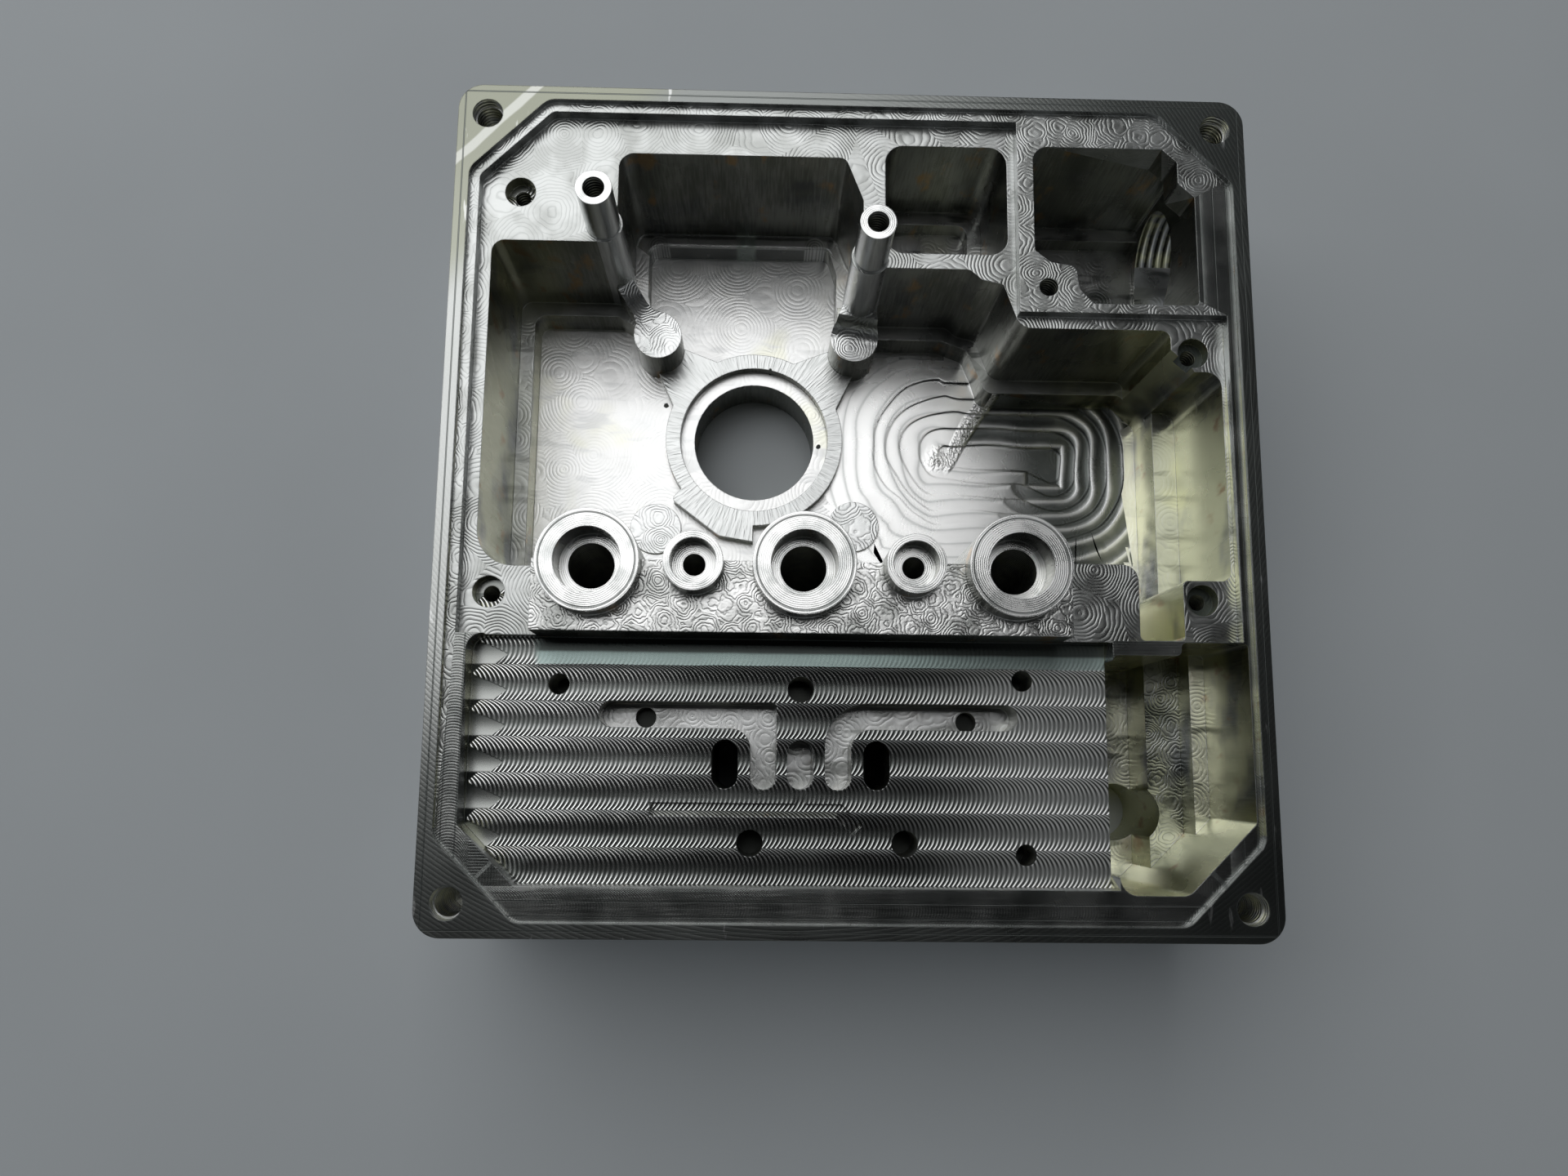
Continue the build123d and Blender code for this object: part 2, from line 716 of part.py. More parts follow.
    # East compartment: high ledge, terrace and deep slot with its drain hole
    with BuildSketch(Plane.XY.offset(high_ledge_z)):
        add(compartment)
    extrude(amount=rim_z, mode=Mode.SUBTRACT)
    with BuildSketch(Plane.XY.offset(terrace_z)):
        add(compartment)
        with Locations((terrace_e, south)):
            Rectangle(body_x, body_y, align=Align.MIN, mode=Mode.SUBTRACT)
    extrude(amount=high_ledge_z - terrace_z, mode=Mode.SUBTRACT)
    with BuildSketch(Plane.XY.offset(slot_floor_z)):
        add(compartment)
        with Locations((tray_e + slot_x, south)):
            Rectangle(body_x, body_y, align=Align.MIN, mode=Mode.SUBTRACT)
    extrude(amount=terrace_z - slot_floor_z, mode=Mode.SUBTRACT)
    with Locations((east - drain_from_east, south + drain_from_south, slot_floor_z)):
        Hole(drain_r)
    # Bearing bore and its seat
    with Locations((ring_x, ring_y, ring_z)):
        CounterBoreHole(bore_r, seat_r, seat_depth)
    # Holes in the bosses and the posts
    with Locations(*[(x, y, boss_z) for x, y in bosses]):
        CounterBoreHole(boss_hole_r, boss_seat_r, boss_seat_depth)
    with Locations(*[(x, y, small_boss_z) for x, y in small_bosses]):
        CounterBoreHole(small_hole_r, small_seat_r, small_seat_depth, depth=small_hole_depth)
    with Locations((*left_post, post_z), (*right_post, post_z)):
        Hole(post_hole_r, depth=post_hole_depth)
    # Screw holes
    with Locations((0, 0, rim_z)):
        with GridLocations(body_x - 2 * corner_hole_inset_x, body_y - 2 * corner_hole_inset_y, 2, 2):
            CounterBoreHole(corner_hole_r, corner_seat_r, corner_seat_depth, depth=corner_hole_depth)
    with Locations(*[(x, y, ledge_z) for x, y in ledge_screws]):
        CounterBoreHole(screw_hole_r, screw_seat_r, screw_seat_depth, depth=screw_hole_depth)
    with Locations((east - cover_hole_from_east, north - cover_hole_from_north, seat_z)):
        Hole(cover_hole_r, depth=screw_hole_depth)

housing.part.label = "housing"
export_step(housing.part, "parts/housing.step")
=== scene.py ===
"""Milled aluminium equipment housing, lying open side up on a pale table."""

import logging
import math
from collections.abc import Callable
from dataclasses import dataclass
from enum import Enum
from typing import ClassVar

import bpy
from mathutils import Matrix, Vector, noise

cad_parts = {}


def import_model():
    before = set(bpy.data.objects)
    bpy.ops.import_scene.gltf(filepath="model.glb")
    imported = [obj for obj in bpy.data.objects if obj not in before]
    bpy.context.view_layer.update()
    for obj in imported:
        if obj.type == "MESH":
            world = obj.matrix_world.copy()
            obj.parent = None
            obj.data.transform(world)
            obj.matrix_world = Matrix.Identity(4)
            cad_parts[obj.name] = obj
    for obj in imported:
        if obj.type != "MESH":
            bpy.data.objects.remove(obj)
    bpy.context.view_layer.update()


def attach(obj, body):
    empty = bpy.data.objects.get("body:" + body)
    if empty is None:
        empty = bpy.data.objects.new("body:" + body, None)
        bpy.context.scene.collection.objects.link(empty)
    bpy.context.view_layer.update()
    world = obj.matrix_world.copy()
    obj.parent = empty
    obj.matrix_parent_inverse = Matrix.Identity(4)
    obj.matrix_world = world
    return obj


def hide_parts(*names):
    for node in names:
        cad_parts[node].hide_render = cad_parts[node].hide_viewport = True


log = logging.getLogger("housing")

MM = 0.001

Socket = bpy.types.NodeSocket
Number = float | Socket
Colour = tuple[float, float, float]


class Finish(Enum):
    """The ways in which the cutters left the faces of the housing."""

    OUTER = "outer_wall"
    WALL = "pocket_wall"
    RIM = "rim_land"
    SEAT = "seat_land"
    LEDGE = "ledge_land"
    TRAY = "tray_floor"
    DECK = "deck_top"
    TURNED = "boss_top"
    FLOOR = "pocket_floor"
    PAD = "pad_top"
    TERRACE = "terraced_floor"
    BAND = "side_land"
    RING = "ring_top"
    POST = "post_side"
    SLOT = "slot_floor"
    THREAD = "screw_thread"
    DEEP = "hole_bottom"
    STEP = "north_step"
    SHELF = "pocket_shelf"
    CLOSED = "closed_pocket_floor"
    CUT = "compartment_ledge"
    CORNER = "corner_thread"
    PORT = "port_thread"


class Graph:
    """A short way to wire a material's nodes. Places are read in millimetres."""

    def __init__(self, name: str, follows: str = "") -> None:
        """Start a material with a Principled shader.

        Args:
            name: The material's name.
            follows: The mesh attribute that places are read from, or nothing for the object's own places.
        """
        self.material = bpy.data.materials.new(name)
        self.material.use_nodes = True
        self.nodes = self.material.node_tree.nodes
        self.links = self.material.node_tree.links
        self.shader = next(n for n in self.nodes if n.type == "BSDF_PRINCIPLED")
        place = self.nodes.new("ShaderNodeAttribute" if follows else "ShaderNodeTexCoord")
        if follows:
            place.attribute_name = follows
        scale = self.nodes.new("ShaderNodeMapping")
        scale.inputs["Scale"].default_value = (1 / MM, 1 / MM, 1 / MM)
        self.links.new(place.outputs["Vector" if follows else "Object"], scale.inputs["Vector"])
        self.place = scale.outputs["Vector"]
        split = self.nodes.new("ShaderNodeSeparateXYZ")
        self.links.new(self.place, split.inputs[0])
        self.x, self.y, self.z = split.outputs

    def feed(self, socket: Socket, value: Number | Colour | Vector) -> None:
        """Set a socket to a constant, or link it.

        Args:
            socket: The input socket.
            value: A constant or an output socket.
        """
        if isinstance(value, bpy.types.NodeSocket):
            self.links.new(value, socket)
        elif isinstance(value, tuple) and len(value) == 3 and socket.type == "RGBA":
            socket.default_value = (*value, 1.0)
        else:
            socket.default_value = value

    def maths(self, operation: str, *values: Number, clamp: bool = False) -> Socket:
        """Work out one Math node.

        Args:
            operation: The node's operation.
            values: Its inputs in order.
            clamp: Whether the result is kept between 0 and 1.

        Returns:
            The result.
        """
        node = self.nodes.new("ShaderNodeMath")
        node.operation = operation
        node.use_clamp = clamp
        for socket, value in zip(node.inputs, values):
            self.feed(socket, value)
        return node.outputs[0]

    def add(self, a: Number, b: Number) -> Socket:
        """Return the sum of two numbers."""
        return self.maths("ADD", a, b)

    def take(self, a: Number, b: Number) -> Socket:
        """Return a less b."""
        return self.maths("SUBTRACT", a, b)

    def times(self, a: Number, b: Number) -> Socket:
        """Return the product of two numbers."""
        return self.maths("MULTIPLY", a, b)

    def step(self, value: Number, start: float, end: float) -> Socket:
        """Rise smoothly from 0 at start to 1 at end.

        Args:
            value: The number that is read.
            start: Where the rise begins.
            end: Where it ends.

        Returns:
            A number from 0 to 1.
        """
        node = self.nodes.new("ShaderNodeMapRange")
        node.interpolation_type = "SMOOTHSTEP"
        self.feed(node.inputs["Value"], value)
        node.inputs["From Min"].default_value = start
        node.inputs["From Max"].default_value = end
        return node.outputs[0]

    def band(self, value: Number, centre: float, width: float) -> Socket:
        """Return 1 on a line at centre that fades out half its width away."""
        away = self.maths("ABSOLUTE", self.take(value, centre))
        return self.take(1.0, self.step(away, width * 0.3, width * 0.5))

    def curve(self, value: Number, points: tuple[tuple[float, float], ...]) -> Socket:
        """Read a smooth curve.

        Args:
            value: The number that is read, from 0 to 1.
            points: The curve's points in order, each number from 0 to 1.

        Returns:
            The curve's height.
        """
        node = self.nodes.new("ShaderNodeFloatCurve")
        self.feed(node.inputs["Value"], value)
        line = node.mapping.curves[0].points
        line[0].location, line[-1].location = points[0], points[-1]
        for point in points[1:-1]:
            line.new(*point)
        node.mapping.update()
        return node.outputs[0]

    def box_away(self, x: float, y: float, half_x: float, half_y: float) -> Socket:
        """Return the level distance outside an upright box, in millimetres."""
        dx = self.take(self.maths("ABSOLUTE", self.take(self.x, x)), half_x)
        dy = self.take(self.maths("ABSOLUTE", self.take(self.y, y)), half_y)
        out_x = self.maths("MAXIMUM", dx, 0.0)
        out_y = self.maths("MAXIMUM", dy, 0.0)
        inside = self.maths("MINIMUM", self.maths("MAXIMUM", dx, dy), 0.0)
        out = self.maths("SQRT", self.add(self.times(out_x, out_x), self.times(out_y, out_y)))
        return self.add(out, inside)

    def between(self, a: Number, b: Number, share: Number) -> Socket:
        """Mix two numbers.

        Args:
            a: The number at a share of 0.
            b: The number at a share of 1.
            share: Where between them.

        Returns:
            The mixed number.
        """
        node = self.nodes.new("ShaderNodeMix")
        node.data_type = "FLOAT"
        self.feed(node.inputs[0], share)
        self.feed(node.inputs[2], a)
        self.feed(node.inputs[3], b)
        return node.outputs[0]

    def tint(self, a: Colour | Socket, b: Colour | Socket, share: Number) -> Socket:
        """Mix two colours.

        Args:
            a: The colour at a share of 0.
            b: The colour at a share of 1.
            share: Where between them.

        Returns:
            The mixed colour.
        """
        node = self.nodes.new("ShaderNodeMix")
        node.data_type = "RGBA"
        self.feed(node.inputs[0], share)
        self.feed(node.inputs[6], a)
        self.feed(node.inputs[7], b)
        return node.outputs[2]

    def noise(self, size: float, detail: float = 2.0, stretch: Colour = (1, 1, 1)) -> Socket:
        """Make soft random patches.

        Args:
            size: How wide a patch is, in millimetres.
            detail: How many finer layers it has.
            stretch: How much finer it is along each axis.

        Returns:
            A number near 0.5.
        """
        node = self.nodes.new("ShaderNodeTexNoise")
        scale = self.nodes.new("ShaderNodeMapping")
        scale.inputs["Scale"].default_value = stretch
        self.links.new(self.place, scale.inputs["Vector"])
        self.links.new(scale.outputs[0], node.inputs["Vector"])
        node.inputs["Scale"].default_value = 1.0 / size
        node.inputs["Detail"].default_value = detail
        return node.outputs["Fac"]

    def cells(self, size: float) -> tuple[Socket, Socket]:
        """Cut the surface into random cells.

        Args:
            size: About how wide a cell is, in millimetres.

        Returns:
            The distance from the cell's own centre in millimetres, and the cell's random number.
        """
        node = self.nodes.new("ShaderNodeTexVoronoi")
        node.inputs["Scale"].default_value = 1.0 / size
        self.links.new(self.place, node.inputs["Vector"])
        split = self.nodes.new("ShaderNodeSeparateColor")
        self.links.new(node.outputs["Color"], split.inputs[0])
        return self.times(node.outputs["Distance"], size), split.outputs[0]

    def ridges(self, phase: Number) -> Socket:
        """Turn a running count of cutter marks into round-topped ridges.

        Args:
            phase: Which grows by 1 from mark to mark.

        Returns:
            A height from 0 to 1.
        """
        share = self.take(self.maths("FRACT", phase), 0.5)
        return self.take(1.0, self.times(4.0, self.times(share, share)))

    def away_from(self, x: float, y: float) -> Socket:
        """Return the level distance from an upright axis at x and y, in millimetres."""
        dx = self.take(self.x, x)
        dy = self.take(self.y, y)
        return self.maths("SQRT", self.add(self.times(dx, dx), self.times(dy, dy)))

    def spots(self, places: tuple[tuple[float, float, float], ...]) -> Socket:
        """Return 1 on small round spots.

        Args:
            places: Each spot's x, y and radius.

        Returns:
            A number from 0 to 1.
        """
        ragged = self.add(0.6, self.noise(0.6, 2.0))
        found = 0.0
        for x, y, r in places:
            away = self.times(self.away_from(x, y), ragged)
            found = self.maths("MAXIMUM", found, self.take(1.0, self.step(away, r * 0.7, r)))
        return found

    def relief(self, height: Number, edge: float = 0.0, level: Socket | None = None, lean: Number = 0.0) -> None:
        """Give the surface its small relief, with rounded edges.

        Args:
            height: In millimetres.
            edge: The radius of the edges in millimetres, or 0 to leave them alone.
            level: How far the relief and the low walls in it are worn level, from 0 to 1, or nothing.
            lean: Where 1, the worn surface leans to the north-west.
        """
        bump = self.nodes.new("ShaderNodeBump")
        bump.inputs["Distance"].default_value = MM
        self.feed(bump.inputs["Height"], height)
        if edge:
            bevel = self.nodes.new("ShaderNodeBevel")
            bevel.inputs["Radius"].default_value = edge * MM
            self.links.new(bevel.outputs[0], bump.inputs["Normal"])
        faced = bump.outputs[0]
        if level is not None:
            up = self.nodes.new("ShaderNodeCombineXYZ")
            self.feed(up.inputs[0], self.times(lean, -0.16))
            self.feed(up.inputs[1], self.times(lean, 0.06))
            up.inputs[2].default_value = 1.0
            worn = self.nodes.new("ShaderNodeMix")
            worn.data_type = "VECTOR"
            self.feed(worn.inputs[0], level)
            self.links.new(faced, worn.inputs[4])
            self.links.new(up.outputs[0], worn.inputs[5])
            unit = self.nodes.new("ShaderNodeVectorMath")
            unit.operation = "NORMALIZE"
            self.links.new(worn.outputs[1], unit.inputs[0])
            faced = unit.outputs[0]
        self.links.new(faced, self.shader.inputs["Normal"])

    def metal(self, colour: Colour | Socket, roughness: Number, metallic: float = 1.0) -> None:
        """Set the metal's colour and gloss.

        Args:
            colour: The base colour.
            roughness: From 0 to 1.
            metallic: How much of it is bare metal.
        """
        self.feed(self.shader.inputs["Base Color"], colour)
        self.feed(self.shader.inputs["Roughness"], roughness)
        self.shader.inputs["Metallic"].default_value = metallic


def smooth(value: float, start: float, end: float) -> float:
    """Rise smoothly from 0 at start to 1 at end."""
    share = min(max((value - start) / (end - start), 0.0), 1.0)
    return share * share * (3.0 - 2.0 * share)


@dataclass(frozen=True)
class Metal:
    """Colours of the bare aluminium under different cutters and oil films; the white also serves as painted highlight,
    the dull, dark and black as painted shade, and the teal as painted reflection.
    """

    white: Colour = (0.86, 0.865, 0.86)
    bright: Colour = (0.70, 0.71, 0.71)
    plain: Colour = (0.50, 0.515, 0.51)
    dull: Colour = (0.29, 0.30, 0.29)
    dark: Colour = (0.11, 0.12, 0.115)
    black: Colour = (0.03, 0.032, 0.03)
    oily: Colour = (0.80, 0.80, 0.50)
    teal: Colour = (0.20, 0.26, 0.25)
    mist: Colour = (0.66, 0.74, 0.69)
    stain: Colour = (0.44, 0.28, 0.13)


METAL = Metal()
EDGE_R = 0.2
AS_CUT = "as_cut"
SWARF = ((-31.7, 24.5, 0.6), (-12.6, 30.9, 0.35), (-3.6, 17.1, 0.55), (1.2, 24.3, 0.4), (13.9, -14.9, 0.7))


@dataclass(frozen=True)
class SideMilled:
    """A wall cut by the side of an end mill, with fine upright and level lines."""

    name: str
    light: Colour
    shade: Colour
    roughness: float
    oil: float
    patchy: float = 0.65

    def material(self) -> bpy.types.Material:
        """Return the wall's material."""
        g = Graph(self.name)
        lines = g.noise(0.35, 2.0, (1.0, 1.0, 0.06))
        patch = g.noise(9.0, 3.0, (1.0, 1.0, 0.5))
        level = g.noise(0.5, 1.0, (0.05, 0.05, 1.0))
        share = g.add(g.times(lines, 1.0 - self.patchy), g.times(patch, self.patchy))
        colour = g.tint(self.shade, self.light, g.step(share, 0.38, 0.62))
        south_east = g.times(g.step(g.x, 34.0, 46.0), g.take(1.0, g.step(g.y, 26.0, 30.0)))
        west = g.step(g.times(g.x, -1.0), 44.0, 54.0)
        wet = g.maths("MINIMUM", g.add(g.add(south_east, g.times(west, 0.5)), 0.1), 1.0)
        oily = g.times(g.times(g.step(g.noise(14.0, 3.0), 0.3, 0.52), self.oil), wet)
        corner = g.times(g.step(g.x, 36.0, 40.0), g.take(1.0, g.step(g.y, -50.0, -44.0)))
        oily = g.maths("MAXIMUM", oily, g.times(g.times(corner, self.oil), g.add(0.75, g.times(lines, 0.4))))
        colour = g.tint(colour, METAL.oily, oily)
        drops = g.times(g.step(g.noise(4.0, 4.0, (1.0, 1.0, 0.45)), 0.60, 0.72), self.oil)
        colour = g.tint(colour, METAL.stain, drops)
        g.metal(colour, g.between(self.roughness - 0.08, self.roughness + 0.1, patch))
        g.relief(g.times(g.add(g.times(lines, 0.6), g.times(level, 0.4)), 0.02), EDGE_R)
        return g.material


@dataclass(frozen=True)
class RimMilled:
    """The flat rim land, cut in straight passes along each side, with a fine scribed line."""

    name: str
    half_x: float
    half_y: float
    line_inset: float = 1.1

    def material(self) -> bpy.types.Material:
        """Return the rim land's material."""
        g = Graph(self.name)
        from_side = g.take(self.half_x, g.maths("ABSOLUTE", g.x))
        from_end = g.take(self.half_y, g.maths("ABSOLUTE", g.y))
        inset = g.maths("MINIMUM", from_side, from_end)
        scribed = g.band(inset, self.line_inset, 0.26)
        patch = g.noise(16.0, 3.0)
        fine = g.noise(0.3, 2.0)
        away = g.away_from(-9.0, 26.0)
        arcs = g.ridges(g.times(g.add(away, g.times(patch, 0.8)), 1.0 / 0.62))
        worn = g.add(g.times(patch, 0.7), g.times(fine, 0.3))
        colour = g.tint(METAL.dull, METAL.plain, worn)
        # Painted shade: the rim is darkened by place, towards the north, the east and the south.
        colour = g.tint(colour, METAL.dark, g.times(0.7, g.step(g.y, 30.0, 66.0)))
        colour = g.tint(colour, METAL.dark, g.times(0.9, g.step(g.x, 10.0, 55.0)))
        colour = g.tint(colour, METAL.dark, g.times(0.8, g.step(g.times(g.y, -1.0), 20.0, 60.0)))
        corner = g.step(g.take(g.y, g.x), 92.0, 102.0)
        colour = g.tint(colour, METAL.dark, g.times(corner, 0.7))
        colour = g.tint(colour, METAL.oily, g.times(corner, 0.12))
        streak = g.band(g.add(g.take(g.y, g.x), g.times(patch, 3.0)), 118.5, 2.6)
        colour = g.tint(colour, METAL.bright, g.times(g.times(streak, corner), 0.35))
        nicks = g.step(g.noise(1.6, 3.0, (1.0, 0.2, 1.0)), 0.68, 0.74)
        colour = g.tint(colour, METAL.bright, g.times(nicks, 0.5))
        colour = g.tint(colour, METAL.dark, g.times(scribed, 0.8))
        g.metal(colour, g.between(0.22, 0.38, patch))
        height = g.add(g.times(arcs, 0.008), g.times(fine, 0.008))
        g.relief(g.take(height, g.times(scribed, 0.05)), EDGE_R)
        return g.material


@dataclass(frozen=True)
class CuspMilled:
    """A land cut by a small ball mill, whose cusps ring like finger prints."""

    name: str
    light: Colour
    shade: Colour
    cell: float = 7.0
    pitch: float = 0.5
    depth: float = 0.022
    roughness: float = 0.27
    wave: float = 0.05
    painted_trough_shade: float = 0.22

    def material(self) -> bpy.types.Material:
        """Return the land's material."""
        g = Graph(self.name)
        away, tone = g.cells(self.cell)
        drift = g.noise(self.cell * 0.6, 2.0)
        cusps = g.ridges(g.times(g.add(away, g.times(drift, 1.9)), 1.0 / self.pitch))
        patch = g.noise(5.0, 3.0)
        share = g.add(g.times(g.step(patch, 0.34, 0.66), 0.7), g.times(tone, 0.3))
        colour = g.tint(self.shade, self.light, share)
        # Painted shade: the troughs between the cusps are darkened.
        colour = g.tint(colour, METAL.dark, g.times(self.painted_trough_shade, g.take(1.0, g.step(cusps, 0.05, 0.6))))
        g.metal(colour, g.between(self.roughness - 0.07, self.roughness + 0.1, patch))
        g.relief(g.add(g.times(cusps, self.depth), g.times(patch, self.wave)), EDGE_R)
        return g.material


@dataclass(frozen=True)
class BandMilled:
    """A narrow land cut by passes along its side, with slanted cusps and fine drawn lines."""

    name: str
    half_x: float
    half_y: float
    feed: float = 0.42
    cutter_r: float = 3.2

    def material(self) -> bpy.types.Material:
        """Return the land's material."""
        g = Graph(self.name)
        from_side = g.take(self.half_x, g.maths("ABSOLUTE", g.x))
        from_end = g.take(self.half_y, g.maths("ABSOLUTE", g.y))
        along_x = g.step(g.take(from_side, from_end), -0.5, 0.5)
        inset = g.maths("MINIMUM", from_side, from_end)
        run = g.between(g.y, g.x, along_x)
        across = g.maths("MINIMUM", g.maths("ABSOLUTE", g.take(inset, 4.2)), self.cutter_r * 0.96)
        arc = g.maths("SQRT", g.take(self.cutter_r**2, g.times(across, across)))
        cusps = g.ridges(g.times(g.take(run, g.times(arc, 1.4)), 1.0 / self.feed))
        patch = g.noise(8.0, 3.0)
        lines = g.noise(0.5, 2.0, (0.08, 1.0, 1.0))
        # Painted shade: this south and east land is given dark and dull tones, with painted highlights on the cusps'
        # crests.
        colour = g.tint(METAL.dark, METAL.dull, g.step(patch, 0.3, 0.7))
        colour = g.tint(colour, METAL.plain, g.times(g.step(cusps, 0.4, 0.95), 0.25))
        drawn = g.maths("MAXIMUM", g.band(inset, 3.05, 0.2), g.band(inset, 5.2, 0.24))
        colour = g.tint(colour, METAL.dark, g.times(drawn, 0.7))
        g.metal(colour, g.between(0.20, 0.32, patch))
        height = g.add(g.times(cusps, 0.01), g.times(lines, 0.02))
        g.relief(g.take(height, g.times(drawn, 0.04)), EDGE_R)
        return g.material


@dataclass(frozen=True)
class TrayMilled:
    """The tray's floor, cut in straight passes from end to end whose arcs meet as chevrons."""

    name: str
    start: float
    north: float
    west: float
    pitch: float = 5.45
    strip: tuple[float, float] = (2.2, 4.2)
    strip_west: float = -47.5
    feed: float = 0.7
    cutter_r: float = 3.2
    reach: float = 8.0
    land_ends: ClassVar[tuple[tuple[float, float], ...]] = (
        (0.0, 0.21),
        (0.12, 0.12),
        (0.27, 0.03),
        (0.33, 0.07),
        (0.5, 0.36),
        (0.62, 0.54),
        (0.72, 0.66),
        (0.8, 0.61),
        (0.92, 0.50),
        (1.0, 0.44),
    )

    def material(self) -> bpy.types.Material:
        """Return the tray floor's material."""
        g = Graph(self.name)
        wander = g.take(g.noise(8.0, 2.0), 0.5)
        share = g.maths("FRACT", g.times(g.take(self.start, g.y), 1.0 / self.pitch))
        across = g.times(g.take(share, 0.58), self.pitch)
        arc = g.maths("SQRT", g.maths("MAXIMUM", g.take(self.cutter_r**2 + 1.2, g.times(across, across)), 0.1))
        phase = g.times(g.add(g.take(g.x, g.times(arc, 1.15)), g.times(wander, 0.9)), 1.0 / self.feed)
        cusps = g.maths("ABSOLUTE", g.take(g.times(g.maths("FRACT", phase), 2.0), 1.0))
        end = g.times(g.curve(share, self.land_ends), self.reach)
        from_west = g.add(g.take(g.x, self.west), g.times(wander, 0.8))
        land = g.step(g.take(end, from_west), -0.15, 0.15)
        hatch = g.take(1.0, land)
        calm = g.add(0.35, g.times(0.65, g.step(g.maths("ABSOLUTE", g.take(share, 0.6)), 0.04, 0.3)))
        hatch = g.times(hatch, calm)
        # Painted reflection: under the deck, a black strip and a teal strip along the tray's north edge stand for the
        # deck's wall mirrored in the floor; the teal strip is also calmer, as an earlier pass left it.
        drop = g.add(g.take(self.north, g.y), g.times(wander, 0.3))
        under_deck = g.step(g.add(g.x, g.times(wander, 2.0)), self.strip_west - 1.5, self.strip_west)
        deck_reflection_strip = g.times(g.take(1.0, g.step(drop, self.strip[0] - 0.3, self.strip[0] + 0.2)), under_deck)
        teal_reflection_strip = g.times(g.take(1.0, g.step(drop, self.strip[1] - 0.15, self.strip[1] + 0.05)), under_deck)
        hatch = g.times(hatch, g.take(1.0, g.times(teal_reflection_strip, 0.8)))
        # Painted light and shade: each row is shaded across its width, lighter towards the row ends and the east and
        # darker towards the west, and the cusps get painted highlights on one side and painted shade on the other.
        slope_highlight = g.curve(share, ((0.0, 1.0), (0.3, 0.8), (0.5, 0.4), (0.6, 0.12), (0.8, 0.4), (1.0, 0.8)))
        patch = g.noise(7.0, 3.0, (0.5, 1.0, 1.0))
        row_shading = g.curve(share, ((0.0, 0.9), (0.16, 0.6), (0.4, 0.3), (0.62, 0.12), (0.82, 0.3), (0.95, 0.6), (1.0, 0.9)))
        ends = g.step(g.maths("ABSOLUTE", g.add(g.x, 6.0)), 8.0, 40.0)
        tone = g.add(g.times(row_shading, g.add(0.15, g.times(ends, 0.55))), g.times(g.take(patch, 0.5), 0.4))
        tone = g.add(tone, g.times(g.step(g.x, 0.0, 34.0), 0.35))
        tone = g.take(tone, g.times(g.step(g.times(g.x, -1.0), 30.0, 56.0), 0.15))
        colour = g.tint(METAL.dark, METAL.plain, tone)
        cusp_highlight = g.times(hatch, g.step(cusps, 0.4, 0.75))
        ends_highlight = g.add(0.6, g.times(ends, 0.4))
        colour = g.tint(colour, METAL.white, g.times(g.times(cusp_highlight, g.add(0.35, g.times(slope_highlight, 0.65))), ends_highlight))
        colour = g.tint(colour, METAL.black, g.times(g.times(hatch, g.take(1.0, g.step(cusps, 0.25, 0.6))), 0.85))
        colour = g.tint(colour, METAL.teal, g.times(teal_reflection_strip, 0.8))
        colour = g.tint(colour, METAL.black, g.times(deck_reflection_strip, 0.85))
        # Painted shade: the smooth land at the rows' west ends runs from dark to dull across each row.
        land_shading = g.step(share, 0.3, 0.95)
        colour = g.tint(colour, g.tint(METAL.dark, METAL.dull, land_shading), g.times(land, 0.85))
        g.metal(colour, g.add(g.between(0.2, 0.32, patch), g.times(g.step(g.x, 0.0, 36.0), 0.22)))
        g.relief(g.times(g.times(cusps, hatch), 0.07), EDGE_R)
        return g.material


@dataclass(frozen=True)
class Turned:
    """A round face with cutter rings about its own axis, in a row of such faces."""

    name: str
    axes: tuple[tuple[float, float], ...]
    groove_r: float
    pitch: float = 0.3

    def material(self) -> bpy.types.Material:
        """Return the round faces' material."""
        g = Graph(self.name)
        away = g.away_from(*self.axes[0])
        for axis in self.axes[1:]:
            away = g.maths("MINIMUM", away, g.away_from(*axis))
        rings = g.ridges(g.times(g.add(away, g.times(g.noise(6.0), 0.5)), 1.0 / self.pitch))
        groove = g.band(away, self.groove_r, 0.3)
        patch = g.noise(4.0, 3.0)
        colour = g.tint(METAL.plain, METAL.white, g.step(patch, 0.3, 0.6))
        # Painted shade: the troughs between the cutter rings are darkened.
        colour = g.tint(colour, METAL.dull, g.times(0.35, g.take(1.0, rings)))
        colour = g.tint(colour, METAL.dark, g.times(groove, 0.8))
        g.metal(colour, g.between(0.2, 0.34, patch))
        g.relief(g.take(g.times(rings, 0.008), g.times(groove, 0.05)), EDGE_R)
        return g.material


@dataclass(frozen=True)
class RingMilled:
    """The bearing ring's top, brushed outwards from its axis."""

    name: str
    axis: tuple[float, float]

    def material(self) -> bpy.types.Material:
        """Return the ring top's material."""
        g = Graph(self.name)
        dx = g.take(g.x, self.axis[0])
        dy = g.take(g.y, self.axis[1])
        turn = g.maths("ARCTAN2", dy, dx)
        rays = g.nodes.new("ShaderNodeTexNoise")
        rays.noise_dimensions = "2D"
        rays.inputs["Scale"].default_value = 1.0
        pair = g.nodes.new("ShaderNodeCombineXYZ")
        g.feed(pair.inputs[0], g.times(turn, 34.0))
        g.feed(pair.inputs[1], g.times(g.away_from(*self.axis), 0.25))
        g.feed(rays.inputs["Vector"], pair.outputs[0])
        brushed = rays.outputs["Fac"]
        patch = g.noise(6.0, 3.0)
        colour = g.tint(METAL.plain, METAL.bright, g.times(g.step(brushed, 0.3, 0.6), 0.35))
        colour = g.tint(colour, METAL.black, g.spots(SWARF))
        g.metal(colour, g.between(0.24, 0.36, patch))
        g.relief(g.times(g.step(brushed, 0.3, 0.7), 0.022), EDGE_R)
        return g.material


